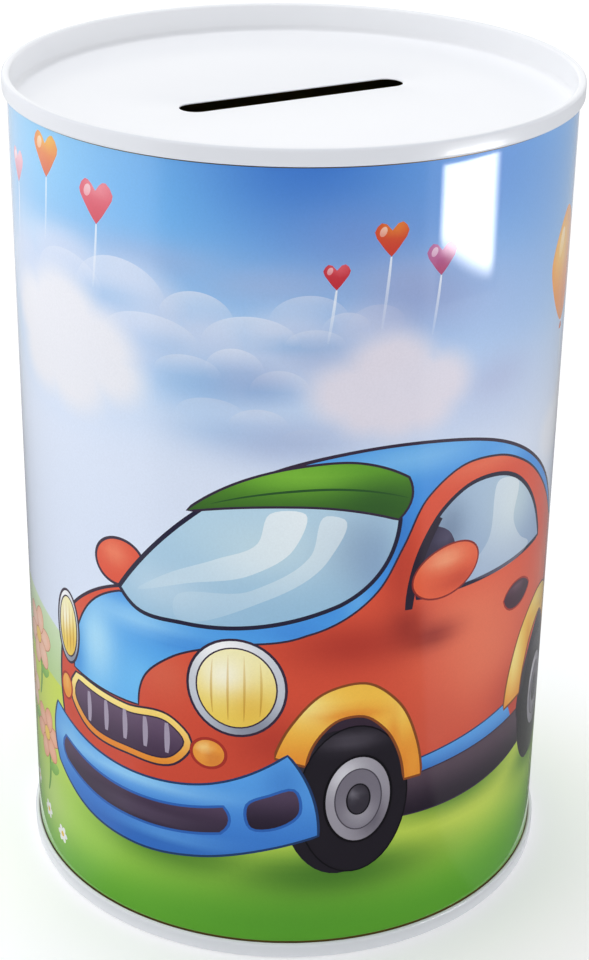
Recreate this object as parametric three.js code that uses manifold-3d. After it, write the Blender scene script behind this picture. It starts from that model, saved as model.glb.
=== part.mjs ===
// A cylindrical tin money box: a rolled and welded tinplate body with a pressed end
// double-seamed onto each mouth. The top end is sunk below its rim and has a coin slot. The
// bottom end has a round hole, closed by a soft moulded plug, that the coins come out of.
//
// Frame: millimetres, +Z up. The origin is the centre of the base, on the plane that the
// bottom seam stands on. The coin slot runs along X.
import * as THREE from "three";
import { mergeVertices } from "three/addons/utils/BufferGeometryUtils.js";
import Module from "manifold-3d";

const wasm = await Module();
wasm.setup();

// ---- driving dimensions -----------------------------------------------------------------
const PLATE = 0.25; // thickness of every tinplate sheet
const FIT = 0.04; // gap left between two sheets that are pressed together
const BODY_INSIDE_R = 49.5; // a 99 mm can
const HEIGHT = 153; // over both seams
const SEAM_HEIGHT = 3;
const PANEL_DEPTH = 5; // from the crown of a seam down to the face of its panel
const PANEL_CORNER_R = 1.1; // where the panel turns up into the chuck wall
const CROWN_R = 0.5; // rounding of a seam's crown
const FOLD_R = 0.3; // rounding of the other folds
const SEAL_THICKNESS = 0.24; // the bead of compound on top of the body's hook
const HOOK_END_GAP = 0.35; // from the tip of a hook to the fold that it reaches towards
const LAP_WIDTH = 3; // the body's welded side seam
const LAP_THICKNESS = 0.2;
const LAP_ANGLE = THREE.MathUtils.degToRad(145.7); // from +X, anticlockwise
const SLOT_LENGTH = 44;
const SLOT_WIDTH = 5.8;
const HOLE_R = 19; // the hole in the bottom end
const HOLE_LIP = 1.3; // how far the hole's edge is turned up into the tin
const PLUG_FIT = 0.07; // between the plug's ribs and the hole
const PLUG_WALL = 1.4;
const PLUG_HEIGHT = 6.8; // of the plug's skirt above the bottom panel
const FLANGE_R = 23;
const FLANGE_THICKNESS = 1.3;
const RIB_HEIGHT = 0.9; // of each sealing rib round the skirt
const RIB_DEPTH = 0.35;
const GRIP_LENGTH = 27; // the bar across the plug that fingers pull on
const GRIP_WIDTH = 3.4;
const GRIP_HEIGHT = 2;
const FACETS = 48; // in a full turn
const FOLD_STEPS = 2; // facets in a rounded fold
const END_STEPS = 6; // facets in a round end of the slot or the grip

// ---- the seam's layers, from the inside out, as inside radii of each sheet --------------
const CHUCK_WALL_R = BODY_INSIDE_R - FIT - PLATE;
const COVER_HOOK_R = BODY_INSIDE_R + PLATE + FIT;
const BODY_HOOK_R = COVER_HOOK_R + PLATE + FIT;
const SEAM_WALL_R = BODY_HOOK_R + PLATE + FIT;
const BODY_CROWN = HEIGHT - PLATE - SEAL_THICKNESS - 2 * FIT;
const SEAM_FOOT = HEIGHT - SEAM_HEIGHT;
const PANEL_FACE = HEIGHT - PANEL_DEPTH;

const WHITE_ENAMEL = { color: 0xf3f5f7, roughness: 0.35, metalness: 0 };
const PRINTED_TINPLATE = { color: 0x86b4e0, roughness: 0.2, metalness: 0 };
const SEALING_COMPOUND = { color: 0x8d8578, roughness: 0.9, metalness: 0 };
const SOFT_PLASTIC = { color: 0xe9e9e6, roughness: 0.55, metalness: 0 };

// ---- helpers ----------------------------------------------------------------------------
// A section is a list of corners [r, z, rounding], anticlockwise with r to the right. Each
// corner that has a rounding becomes an arc of that radius, tangent to its two sides.
function rounded(section) {
  const at = (i) => new THREE.Vector2(...section.at(i % section.length).slice(0, 2));
  return section.flatMap(([, , radius], i) => {
    const corner = at(i);
    if (!radius) return [corner];
    const before = at(i - 1).sub(corner).normalize();
    const after = at(i + 1).sub(corner).normalize();
    const half = Math.acos(before.dot(after)) / 2;
    const reach = radius / Math.tan(half);
    const inward = before.clone().add(after).normalize();
    const centre = corner.clone().addScaledVector(inward, radius / Math.sin(half));
    const start = corner.clone().addScaledVector(before, reach).sub(centre);
    const end = corner.clone().addScaledVector(after, reach).sub(centre);
    const turn = Math.PI - 2 * half;
    return Array.from({ length: FOLD_STEPS + 1 }, (_, step) => {
      const share = step / FOLD_STEPS;
      return centre
        .clone()
        .addScaledVector(start, Math.sin((1 - share) * turn) / Math.sin(turn))
        .addScaledVector(end, Math.sin(share * turn) / Math.sin(turn));
    });
  });
}

// Turns a section about Z. One that stays off the axis is closed back to its first point.
function revolve(section) {
  const points = rounded(section);
  if (section[0][0] > 0) points.push(points[0].clone());
  return new THREE.LatheGeometry(points, FACETS).rotateX(Math.PI / 2);
}

// The section that the other end of the tin has.
function upsideDown(section) {
  return section.map(([r, z, radius]) => [r, HEIGHT - z, radius]).reverse();
}

// An outline along X with half-round ends.
function roundEnded(length, width) {
  const radius = width / 2;
  const reach = length / 2 - radius;
  const outline = new THREE.Shape();
  outline.absarc(reach, 0, radius, -Math.PI / 2, Math.PI / 2, false);
  outline.absarc(-reach, 0, radius, Math.PI / 2, (3 * Math.PI) / 2, false);
  outline.closePath();
  return outline;
}

function prism(outline, low, high) {
  const options = { depth: high - low, bevelEnabled: false, curveSegments: END_STEPS };
  return new THREE.ExtrudeGeometry(outline, options).translate(0, 0, low);
}

function solid(geometry) {
  const bare = geometry.clone();
  bare.deleteAttribute("normal");
  bare.deleteAttribute("uv");
  const merged = mergeVertices(bare, 1e-4);
  const vertProperties = merged.attributes.position.array;
  const triVerts = new Uint32Array(merged.index.array);
  return new wasm.Manifold(new wasm.Mesh({ numProp: 3, vertProperties, triVerts }));
}

function geometryOf(body) {
  const { vertProperties, triVerts } = body.getMesh();
  const geometry = new THREE.BufferGeometry();
  geometry.setAttribute("position", new THREE.BufferAttribute(vertProperties, 3));
  return geometry.setIndex(new THREE.BufferAttribute(triVerts, 1));
}

function piece(name, geometry, finish) {
  const mesh = new THREE.Mesh(geometry, new THREE.MeshStandardMaterial(finish));
  mesh.name = name;
  return mesh;
}

// ---- body shell -------------------------------------------------------------------------
// One sheet rolled into a tube, its two edges lapped and welded, and each mouth folded out
// and back into a hook.
function bodyShell() {
  const hookOutsideR = BODY_HOOK_R + PLATE;
  const hookTip = SEAM_FOOT + PLATE + HOOK_END_GAP;
  const upperHalf = [
    [BODY_INSIDE_R + PLATE, BODY_CROWN - PLATE],
    [BODY_HOOK_R, BODY_CROWN - PLATE],
    [BODY_HOOK_R, hookTip],
    [hookOutsideR, hookTip],
    [hookOutsideR, BODY_CROWN, FOLD_R],
    [BODY_INSIDE_R, BODY_CROWN, FOLD_R],
  ];
  const tube = solid(revolve([...upperHalf, ...upsideDown(upperHalf)]));
  return geometryOf(tube.add(solid(lapStrip())));
}

// The outer layer of the lap, standing one plate proud between the two seams.
function lapStrip() {
  const rooted = PLATE / 2; // how deep the strip starts inside the wall
  const clear = PLATE; // left between the strip and each seam
  const strip = new THREE.BoxGeometry(
    LAP_THICKNESS + rooted,
    LAP_WIDTH,
    SEAM_FOOT - SEAM_HEIGHT - 2 * clear,
  );
  const middleR = BODY_INSIDE_R + PLATE + (LAP_THICKNESS - rooted) / 2;
  return strip.translate(middleR, 0, HEIGHT / 2).rotateZ(LAP_ANGLE);
}

// ---- ends -------------------------------------------------------------------------------
// From the underside of the panel out under the chuck wall, round the seam, and back in over
// the panel's face. Both ends are pressed to it.
function endSection() {
  const hookTip = BODY_CROWN - PLATE - HOOK_END_GAP;
  const seamR = SEAM_WALL_R + PLATE;
  return [
    [CHUCK_WALL_R + PLATE, PANEL_FACE - PLATE, PANEL_CORNER_R + PLATE],
    [CHUCK_WALL_R + PLATE, HEIGHT - PLATE],
    [SEAM_WALL_R, HEIGHT - PLATE, CROWN_R - PLATE],
    [SEAM_WALL_R, SEAM_FOOT + PLATE],
    [COVER_HOOK_R + PLATE, SEAM_FOOT + PLATE],
    [COVER_HOOK_R + PLATE, hookTip],
    [COVER_HOOK_R, hookTip],
    [COVER_HOOK_R, SEAM_FOOT, FOLD_R],
    [seamR, SEAM_FOOT, FOLD_R],
    [seamR, HEIGHT, CROWN_R],
    [CHUCK_WALL_R, HEIGHT, CROWN_R],
    [CHUCK_WALL_R, PANEL_FACE, PANEL_CORNER_R],
  ];
}

function topEnd() {
  const disc = [[0, PANEL_FACE - PLATE], ...endSection(), [0, PANEL_FACE]];
  const opening = roundEnded(SLOT_LENGTH, SLOT_WIDTH);
  const past = 1; // how far the cut runs past both faces
  const punch = solid(prism(opening, PANEL_FACE - PLATE - past, PANEL_FACE + past));
  return geometryOf(solid(revolve(disc)).subtract(punch));
}

function bottomEnd() {
  const lipFoot = PANEL_FACE - PLATE - HOLE_LIP;
  const ring = [
    [HOLE_R, lipFoot],
    [HOLE_R + PLATE, lipFoot],
    [HOLE_R + PLATE, PANEL_FACE - PLATE],
    ...endSection(),
    [HOLE_R, PANEL_FACE],
  ];
  return revolve(upsideDown(ring));
}

// ---- sealing compound -------------------------------------------------------------------
// The bead squeezed between the body's hook and the inside of the seam.
function sealSection() {
  const low = BODY_CROWN + FIT;
  const innerR = BODY_INSIDE_R + PLATE / 2;
  const outerR = BODY_HOOK_R + PLATE / 2;
  return [
    [innerR, low],
    [outerR, low],
    [outerR, low + SEAL_THICKNESS],
    [innerR, low + SEAL_THICKNESS],
  ];
}

// ---- base plug --------------------------------------------------------------------------
// A flange that lies under the bottom panel, a hollow skirt with two ribs that grip the
// hole's edge, and a bar to pull it out by.
function basePlug() {
  const flangeTop = PANEL_DEPTH - FIT;
  const flangeFoot = flangeTop - FLANGE_THICKNESS;
  const skirtTop = PANEL_DEPTH + PLUG_HEIGHT;
  const ribR = HOLE_R - PLUG_FIT;
  const skirtR = ribR - RIB_DEPTH;
  const rib = (low) => [
    [skirtR, low],
    [ribR, low + RIB_HEIGHT / 2],
    [skirtR, low + RIB_HEIGHT],
  ];
  const lowerRib = PANEL_DEPTH + PLATE / 2;
  const upperRib = PANEL_DEPTH + PLATE + HOLE_LIP + RIB_HEIGHT;
  const section = [
    [0, flangeFoot],
    [FLANGE_R, flangeFoot, FOLD_R],
    [FLANGE_R, flangeTop, FOLD_R],
    [skirtR, flangeTop],
    ...rib(lowerRib),
    ...rib(upperRib),
    [skirtR, skirtTop, FOLD_R],
    [skirtR - PLUG_WALL, skirtTop, FOLD_R],
    [skirtR - PLUG_WALL, flangeTop],
    [0, flangeTop],
  ];
  const bar = prism(roundEnded(GRIP_LENGTH, GRIP_WIDTH), flangeFoot - GRIP_HEIGHT, flangeTop);
  return geometryOf(solid(revolve(section)).add(solid(bar)));
}

// ---- assembly ---------------------------------------------------------------------------
const tin = new THREE.Group();
tin.add(
  piece("body_shell", bodyShell(), PRINTED_TINPLATE),
  piece("top_end", topEnd(), WHITE_ENAMEL),
  piece("bottom_end", bottomEnd(), WHITE_ENAMEL),
  piece("top_seal", revolve(sealSection()), SEALING_COMPOUND),
  piece("bottom_seal", revolve(upsideDown(sealSection())), SEALING_COMPOUND),
  piece("base_plug", basePlug(), SOFT_PLASTIC),
);

export default tin;
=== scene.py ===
# %% [markdown]
# # A printed tin money box
#
# The tin is three pressed pieces of tinplate: a rolled body, and a white enamelled end seamed
# onto each mouth. The top end has a coin slot, and a soft plug closes the hole in the bottom.
# The working sizes come from the CAD model, so this script only adds what the eye needs:
# fine curves, the printed picture, enamel, varnish and light.

# %% Load the frame
import math

import bmesh
import bpy
import numpy as np
from mathutils import Matrix, Vector
from mathutils.geometry import delaunay_2d_cdt


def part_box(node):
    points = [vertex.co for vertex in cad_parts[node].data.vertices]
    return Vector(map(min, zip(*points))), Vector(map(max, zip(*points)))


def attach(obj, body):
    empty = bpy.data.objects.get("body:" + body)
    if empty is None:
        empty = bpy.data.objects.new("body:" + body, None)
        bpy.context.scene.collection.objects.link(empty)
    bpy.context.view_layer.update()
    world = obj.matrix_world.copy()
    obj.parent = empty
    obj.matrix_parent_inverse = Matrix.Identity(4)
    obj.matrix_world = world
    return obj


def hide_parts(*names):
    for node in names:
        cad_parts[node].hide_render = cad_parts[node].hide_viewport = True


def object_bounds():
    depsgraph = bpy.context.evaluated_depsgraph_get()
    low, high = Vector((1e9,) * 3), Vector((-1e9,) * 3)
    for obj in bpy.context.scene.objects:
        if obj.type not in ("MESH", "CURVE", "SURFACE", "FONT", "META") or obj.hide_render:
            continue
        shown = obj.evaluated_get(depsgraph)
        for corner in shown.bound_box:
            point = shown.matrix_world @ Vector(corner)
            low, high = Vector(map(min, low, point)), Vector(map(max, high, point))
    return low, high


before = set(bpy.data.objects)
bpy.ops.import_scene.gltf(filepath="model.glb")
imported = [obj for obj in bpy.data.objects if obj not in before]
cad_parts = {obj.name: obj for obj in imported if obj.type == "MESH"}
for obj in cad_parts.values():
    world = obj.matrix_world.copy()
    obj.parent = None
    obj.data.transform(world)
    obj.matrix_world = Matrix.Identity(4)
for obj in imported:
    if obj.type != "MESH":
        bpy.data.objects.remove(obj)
cad_box = [list(corner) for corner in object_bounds()]

# %% [markdown]
# ## Sizes
#
# Everything is drawn in millimetres and turned to metres once, when a piece is finished. The
# over-all sizes are read from the CAD model; the sheet thickness and the small gaps inside a
# double seam are the same driving values that the CAD model was drawn with.

# %% Sizes in millimetres
MM = 0.001
PLATE = 0.25
FIT = 0.04
SEAM_HEIGHT = 3
PANEL_DEPTH = 5
LAP_ANGLE = math.radians(145.7)  # where the side seam stands, anticlockwise from +X


def size_mm(node):
    """The low and high corners of a CAD node."""
    low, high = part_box(node)
    return [c / MM for c in low], [c / MM for c in high]


HEIGHT = cad_box[1][2] / MM
SEAM_R = cad_box[1][0] / MM
CHUCK_R = SEAM_R - 5 * PLATE - 4 * FIT - FIT / 2  # inside of the wall sunk in the body
BODY_R = SEAM_R - 3 * (PLATE + FIT)  # outside of the printed body
COVER_HOOK_R = BODY_R + FIT
SEAM_WALL_R = SEAM_R - PLATE
SEAM_FOOT = HEIGHT - SEAM_HEIGHT
PANEL_FACE = HEIGHT - PANEL_DEPTH
print(f"height {HEIGHT:.2f}, over the seams {2 * SEAM_R:.2f}, body {2 * BODY_R:.2f} mm")

# %% [markdown]
# ## Camera
#
# A tin looks right only with the right perspective: the top ellipse opens and the sides
# narrow towards the base. A long lens from about 40 cm, well above the tin, does that.
# The coin slot is turned about 29 degrees from the picture's own middle.

# %% Camera
FRONT = math.radians(-29.34)  # azimuth that the picture's middle faces
CAMERA_PITCH = math.radians(25.44)
CAMERA_PAN = math.radians(0.17)
CAMERA_ROLL = math.radians(-0.79)
CAMERA_LENS = 76.96
CAMERA_BACK = 353.4  # from the tin's axis
CAMERA_UP = 241.4  # from the floor

camera_data = bpy.data.cameras.new("camera")
camera_data.lens = CAMERA_LENS
camera_data.clip_end = 50
camera = bpy.data.objects.new("camera", camera_data)
bpy.context.scene.collection.objects.link(camera)
camera.matrix_world = (
    Matrix.Rotation(FRONT, 4, "Z")
    @ Matrix.Translation(Vector((0, -CAMERA_BACK, CAMERA_UP)) * MM)
    @ Matrix.Rotation(math.pi / 2 - CAMERA_PITCH, 4, "X")
    @ Matrix.Rotation(-CAMERA_PAN, 4, "Y")
    @ Matrix.Rotation(-CAMERA_ROLL, 4, "Z")
)
bpy.context.scene.camera = camera
bpy.context.scene.view_settings.view_transform = "Standard"
print("camera", [round(c, 4) for c in camera.matrix_world.translation])

# %% [markdown]
# ## Materials
#
# One helper adds a node with its settings and links. Colours are written as the hex values
# that a designer would pick, and one function turns them to the linear values that the
# renderer works with.


# %% Helpers for materials
def srgb(hexcode):
    """Red, green and blue of a hex colour, 0 to 1, as a screen shows them."""
    return np.array([int(hexcode[i : i + 2], 16) / 255 for i in (1, 3, 5)])


def linear(colour):
    """sRGB values as the linear ones that light adds up in."""
    colour = np.asarray(colour)
    return np.where(colour <= 0.04045, colour / 12.92, ((colour + 0.055) / 1.055) ** 2.4)


def hue(hexcode):
    """A hex colour for a colour socket."""
    return (*map(float, linear(srgb(hexcode))), 1.0)


def add(tree, kind, inputs=None, **settings):
    """A node with its settings; an input is a value or the socket that feeds it."""
    node = tree.nodes.new(kind)
    for name, value in settings.items():
        setattr(node, name, value)
    for socket, value in (inputs or {}).items():
        if isinstance(value, bpy.types.NodeSocket):
            tree.links.new(value, node.inputs[socket])
        else:
            node.inputs[socket].default_value = value
    return node


MIX_A, MIX_B, MIX_RESULT = 6, 7, 2  # sockets of a colour Mix node, whose names aren't unique


def new_finish(name):
    """A material with an empty Principled shader, and that shader."""
    material = bpy.data.materials.new(name)
    material.use_nodes = True
    return material, material.node_tree, material.node_tree.nodes["Principled BSDF"]


def waviness(tree, size_mm, height_mm, detail=2.0, stretch=(1, 1, 1)):
    """A bump of noise whose swells are about size_mm apart and height_mm high."""
    place = add(tree, "ShaderNodeTexCoord").outputs["Object"]
    scaled = add(tree, "ShaderNodeMapping", {"Vector": place, "Scale": stretch})
    noise = add(
        tree,
        "ShaderNodeTexNoise",
        {"Vector": scaled.outputs[0], "Scale": 1 / (size_mm * MM), "Detail": detail},
    )
    bump = {"Height": noise.outputs["Fac"], "Strength": 1.0, "Distance": height_mm * MM}
    return add(tree, "ShaderNodeBump", bump).outputs["Normal"]


def clouded(tree, shader, size_mm, low, high):
    """A base colour that drifts between two close tones, in patches size_mm apart."""
    place = add(tree, "ShaderNodeTexCoord").outputs["Object"]
    clouding = add(tree, "ShaderNodeTexNoise", {"Vector": place, "Scale": 1 / (size_mm * MM)})
    tone = add(
        tree,
        "ShaderNodeMix",
        {"Factor": clouding.outputs["Fac"], MIX_A: hue(low), MIX_B: hue(high)},
        data_type="RGBA",
    )
    tree.links.new(tone.outputs[MIX_RESULT], shader.inputs["Base Color"])
    return tone.outputs[MIX_RESULT]


# %% [markdown]
# ### White enamel
#
# The ends are stamped from tinplate that was roller-coated with white enamel and stoved. It
# is a smooth, hard paint: a bright diffuse white under a clear gloss, with the faint orange
# peel that a roller leaves. The outer wall of each seam is painted a little greyer: that is
# painted shade, standing for the shade that falls on the seam's wall.


# %% White enamel
SEAM_SHADE_DEPTH = 0.5  # the painted shade covers only this outermost part of a seam
FULL_SEAM_SHADE_DEPTH = 0.12


def white_enamel():
    material, tree, shader = new_finish("stoved white enamel on tinplate")
    enamel = clouded(tree, shader, 22, "#F4F5F8", "#F7F8FA")
    place = add(tree, "ShaderNodeTexCoord").outputs["Object"]
    level = add(tree, "ShaderNodeVectorMath", {0: place, 1: (1, 1, 0)}, operation="MULTIPLY")
    from_axis = add(tree, "ShaderNodeVectorMath", {0: level.outputs[0]}, operation="LENGTH")
    # Painted shade: the seam's outermost wall is mixed towards a greyer white, for the shade that
    # falls there.
    reach = {
        "Value": from_axis.outputs["Value"],
        "From Min": (SEAM_R - SEAM_SHADE_DEPTH) * MM,
        "From Max": (SEAM_R - FULL_SEAM_SHADE_DEPTH) * MM,
    }
    rolled = add(tree, "ShaderNodeMapRange", reach, interpolation_type="SMOOTHSTEP")
    seam_shade = add(
        tree,
        "ShaderNodeMix",
        {"Factor": rolled.outputs[0], MIX_A: enamel, MIX_B: hue("#E0E2E7")},
        data_type="RGBA",
    )
    tree.links.new(seam_shade.outputs[MIX_RESULT], shader.inputs["Base Color"])
    shader.inputs["Roughness"].default_value = 0.32
    shader.inputs["IOR"].default_value = 1.5
    shader.inputs["Coat Weight"].default_value = 0.35
    shader.inputs["Coat Roughness"].default_value = 0.12
    tree.links.new(waviness(tree, 1.6, 0.004), shader.inputs["Normal"])
    return material


# %% [markdown]
# ### Lithographed tinplate
#
# The body was printed flat, before it was rolled: a white base coat, the inks, and a clear
# varnish over all. So it isn't metallic to look at. The inks give a matt colour, and the
# varnish gives the sharp gloss, a little rippled by the roller. The ink's colour is stored on
# the mesh, where the picture's outlines are real edges. The screen dots of the printing are
# 0.17 mm apart, too fine to show, so a faint grain of twice that size stands for them.


# %% Lithographed tinplate
def lithographed_tinplate():
    material, tree, shader = new_finish("varnished lithograph on tinplate")
    ink = add(tree, "ShaderNodeAttribute", attribute_name="ink")
    place = add(tree, "ShaderNodeTexCoord").outputs["Object"]
    screen = add(tree, "ShaderNodeTexNoise", {"Vector": place, "Scale": 1 / (0.35 * MM)})
    dots = add(
        tree,
        "ShaderNodeMapRange",
        {"Value": screen.outputs["Fac"], "From Min": 0.3, "From Max": 0.7, "To Min": 0.96},
    )
    print_grain = add(
        tree,
        "ShaderNodeMix",
        {"Factor": 1.0, MIX_A: ink.outputs["Color"], MIX_B: dots.outputs[0]},
        data_type="RGBA",
        blend_type="MULTIPLY",
    )
    tree.links.new(print_grain.outputs[MIX_RESULT], shader.inputs["Base Color"])
    shader.inputs["Roughness"].default_value = 0.45
    shader.inputs["IOR"].default_value = 1.45
    shader.inputs["Specular IOR Level"].default_value = 0.15
    shader.inputs["Coat Weight"].default_value = 1.0
    shader.inputs["Coat IOR"].default_value = 1.52
    shader.inputs["Coat Roughness"].default_value = 0.035
    ripple = waviness(tree, 9, 0.012, detail=1.0, stretch=(1, 1, 0.5))
    tree.links.new(ripple, shader.inputs["Coat Normal"])
    return material


# %% [markdown]
# ### Bare and lacquered tinplate
#
# No ink is printed where the side seam is welded, so a strip of bright tin shows there. Tin
# is a real metal: its colour is in the reflection, broken up by fine rolling lines. Inside,
# the sheet has a thin gold lacquer.


# %% Bare and lacquered tinplate
def rolled_tin(name, colour, roughness):
    material, tree, shader = new_finish(name)
    place = add(tree, "ShaderNodeTexCoord").outputs["Object"]
    grain = add(tree, "ShaderNodeMapping", {"Vector": place, "Scale": (1, 1, 0.02)})
    lines = add(
        tree,
        "ShaderNodeTexNoise",
        {"Vector": grain.outputs[0], "Scale": 1 / (0.35 * MM), "Detail": 3.0},
    )
    spread = add(
        tree,
        "ShaderNodeMapRange",
        {"Value": lines.outputs["Fac"], "To Min": roughness - 0.08, "To Max": roughness + 0.1},
    )
    shader.inputs["Base Color"].default_value = hue(colour)
    shader.inputs["Metallic"].default_value = 1.0
    tree.links.new(spread.outputs[0], shader.inputs["Roughness"])
    return material


# %% [markdown]
# ### Sealing compound and polyethylene
#
# The seams are lined with a rubbery compound, and the plug is soft moulded polyethylene, a
# waxy plastic that scatters light under its surface and has a faint spark-eroded texture.


# %% Sealing compound and polyethylene
def sealing_compound():
    material, tree, shader = new_finish("rubber sealing compound")
    clouded(tree, shader, 2, "#82796B", "#989083")
    shader.inputs["Roughness"].default_value = 0.85
    tree.links.new(waviness(tree, 0.4, 0.02), shader.inputs["Normal"])
    return material


def moulded_polyethylene():
    material, tree, shader = new_finish("moulded polyethylene")
    clouded(tree, shader, 6, "#E0E1DC", "#EBECE9")
    shader.inputs["Roughness"].default_value = 0.5
    shader.inputs["Subsurface Weight"].default_value = 0.25
    shader.inputs["Subsurface Radius"].default_value = (0.002, 0.002, 0.002)
    tree.links.new(waviness(tree, 0.3, 0.008, detail=4.0), shader.inputs["Normal"])
    return material


ENAMEL = white_enamel()
PRINT = lithographed_tinplate()
BARE_TIN = rolled_tin("bare tinplate", "#D8DADC", 0.3)
GOLD_LACQUER = rolled_tin("gold lacquered tinplate", "#7D6838", 0.5)
COMPOUND = sealing_compound()
POLYETHYLENE = moulded_polyethylene()
print("materials", [m.name for m in bpy.data.materials])

# %% [markdown]
# ## Shapes that are turned about the tin's axis
#
# Everything that a seaming roll or a press makes here is a section turned round the axis. The
# section is drawn with sharp corners, each with the radius of its bend, and one helper puts
# the arcs in.


# %% Helpers for sections
def rounded(section, steps=6):
    """Corners [r, z] or [r, z, radius] to points, each rounded corner an arc of steps."""
    corners = [np.array(corner[:2], float) for corner in section]
    points = []
    for i, corner in enumerate(corners):
        radius = section[i][2] if len(section[i]) > 2 else 0
        if not radius:
            points.append(corner)
            continue
        before = corners[i - 1] - corner
        after = corners[(i + 1) % len(corners)] - corner
        before = before / np.linalg.norm(before)
        after = after / np.linalg.norm(after)
        half = math.acos(float(before @ after)) / 2
        inward = (before + after) / np.linalg.norm(before + after)
        centre = corner + inward * radius / math.sin(half)
        start = corner + before * radius / math.tan(half) - centre
        end = corner + after * radius / math.tan(half) - centre
        turn = math.pi - 2 * half
        for share in np.linspace(0, 1, steps + 1):
            a = math.sin((1 - share) * turn) / math.sin(turn)
            b = math.sin(share * turn) / math.sin(turn)
            points.append(centre + a * start + b * end)
    return points


def upside_down(section):
    """The same section for the other end of the tin."""
    return [[corner[0], HEIGHT - corner[1], *corner[2:]] for corner in reversed(section)]


# %% [markdown]
# A Geometry Nodes tree does the turning: it takes the section as a line of edges and sweeps
# it round a circle. A Screw modifier could do it too, but the tree names its inputs, and the
# same tree serves every turned piece.


# %% Turn a section about the axis
def turning_tree():
    """Sweeps a section of edges, drawn as (r - circle radius, -z), round a circle."""
    tree = bpy.data.node_groups.new("turn a section about the axis", "GeometryNodeTree")
    face = tree.interface
    face.new_socket("Section", in_out="INPUT", socket_type="NodeSocketGeometry")
    face.new_socket("Circle radius", in_out="INPUT", socket_type="NodeSocketFloat")
    face.new_socket("Steps", in_out="INPUT", socket_type="NodeSocketInt")
    face.new_socket("Finish", in_out="INPUT", socket_type="NodeSocketMaterial")
    face.new_socket("Turned", in_out="OUTPUT", socket_type="NodeSocketGeometry")
    given = add(tree, "NodeGroupInput").outputs
    section = add(tree, "GeometryNodeMeshToCurve", {"Mesh": given["Section"]})
    circle = add(
        tree,
        "GeometryNodeCurvePrimitiveCircle",
        {"Radius": given["Circle radius"], "Resolution": given["Steps"]},
    )
    swept = add(
        tree,
        "GeometryNodeCurveToMesh",
        {"Curve": circle.outputs["Curve"], "Profile Curve": section.outputs["Curve"]},
    )
    real = add(tree, "GeometryNodeRealizeInstances", {"Geometry": swept.outputs["Mesh"]})
    finished = add(
        tree,
        "GeometryNodeSetMaterial",
        {"Geometry": real.outputs["Geometry"], "Material": given["Finish"]},
    )
    add(tree, "NodeGroupOutput", {"Turned": finished.outputs["Geometry"]})
    return tree


TURNING = turning_tree()
AROUND = 240  # steps in a full turn
CIRCLE_R = 40.0


def turned(points, finish, closed=True):
    """The mesh of a section turned about the axis, as a bmesh in millimetres."""
    outline = bpy.data.meshes.new("section")
    count = len(points)
    edges = [(i, (i + 1) % count) for i in range(count if closed else count - 1)]
    outline.from_pydata([(r - CIRCLE_R, -z, 0) for r, z in points], edges, [])
    holder = bpy.data.objects.new("section", outline)
    bpy.context.scene.collection.objects.link(holder)
    modifier = holder.modifiers.new("turning", "NODES")
    modifier.node_group = TURNING
    values = {"Circle radius": CIRCLE_R, "Steps": AROUND, "Finish": finish}
    for socket in TURNING.interface.items_tree:
        if socket.name in values:
            modifier[socket.identifier] = values[socket.name]
    graph = bpy.context.evaluated_depsgraph_get()
    mesh = bpy.data.meshes.new_from_object(holder.evaluated_get(graph))
    bpy.data.objects.remove(holder)
    shape = bmesh.new()
    shape.from_mesh(mesh)
    return shape


# %% [markdown]
# Every piece ends in the same way. Its doubles are merged, its faces are turned outwards, and
# it is scaled to metres. Then it is hung under the empty of the body it rides on, and the
# CAD node that it stands for is hidden.


# %% Finish a piece
def finished_piece(name, shape, finishes, body, node, sharp=40):
    """Merges and checks a closed bmesh in millimetres and puts it in the frame, in metres."""
    bmesh.ops.remove_doubles(shape, verts=shape.verts, dist=1e-3)
    bmesh.ops.recalc_face_normals(shape, faces=shape.faces)
    if shape.calc_volume(signed=True) < 0:
        bmesh.ops.reverse_faces(shape, faces=shape.faces)
    open_edges = sum(not edge.is_manifold for edge in shape.edges)
    bmesh.ops.scale(shape, vec=(MM, MM, MM), verts=shape.verts)
    mesh = bpy.data.meshes.new(name)
    shape.to_mesh(mesh)
    shape.free()
    for finish in finishes:
        mesh.materials.append(finish)
    mesh.polygons.foreach_set("use_smooth", [True] * len(mesh.polygons))
    mesh.set_sharp_from_angle(angle=math.radians(sharp))
    piece = bpy.data.objects.new(name, mesh)
    bpy.context.scene.collection.objects.link(piece)
    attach(piece, body)
    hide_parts(node)
    print(f"{name}: {len(mesh.polygons)} faces, {open_edges} open edges")
    return piece


# %% [markdown]
# ## The ends and their double seams
#
# A can end is pressed from one disc. Its rim is rolled round the body's flange and squeezed
# flat, five layers of metal deep: that is the raised ring round the top and the base. The
# panel is sunk 5 mm below it by the chuck that holds the end while it is seamed.


# %% Section of an end
CHUCK_OUTSIDE_R = CHUCK_R + PLATE
CROWN_GAP = 0.32  # room for the compound above the body's fold
HOOK_GAP = 0.35  # each hook stops this short of the fold it reaches into
BODY_CROWN = HEIGHT - PLATE - CROWN_GAP


def end_section():
    """An end from under its panel, out through the seam and back to its face."""
    hook_tip = BODY_CROWN - PLATE - HOOK_GAP
    return [
        [CHUCK_OUTSIDE_R, PANEL_FACE - PLATE, 1.35],
        [CHUCK_OUTSIDE_R, HEIGHT - PLATE],
        [SEAM_WALL_R, HEIGHT - PLATE, 0.25],
        [SEAM_WALL_R, SEAM_FOOT + PLATE],
        [COVER_HOOK_R + PLATE, SEAM_FOOT + PLATE],
        [COVER_HOOK_R + PLATE, hook_tip],
        [COVER_HOOK_R, hook_tip],
        [COVER_HOOK_R, SEAM_FOOT, 0.3],
        [SEAM_R, SEAM_FOOT, 0.5],
        [SEAM_R, HEIGHT, 0.55],
        [CHUCK_R, HEIGHT, 0.55],
        [CHUCK_R, PANEL_FACE, 1.1],
    ]


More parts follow.
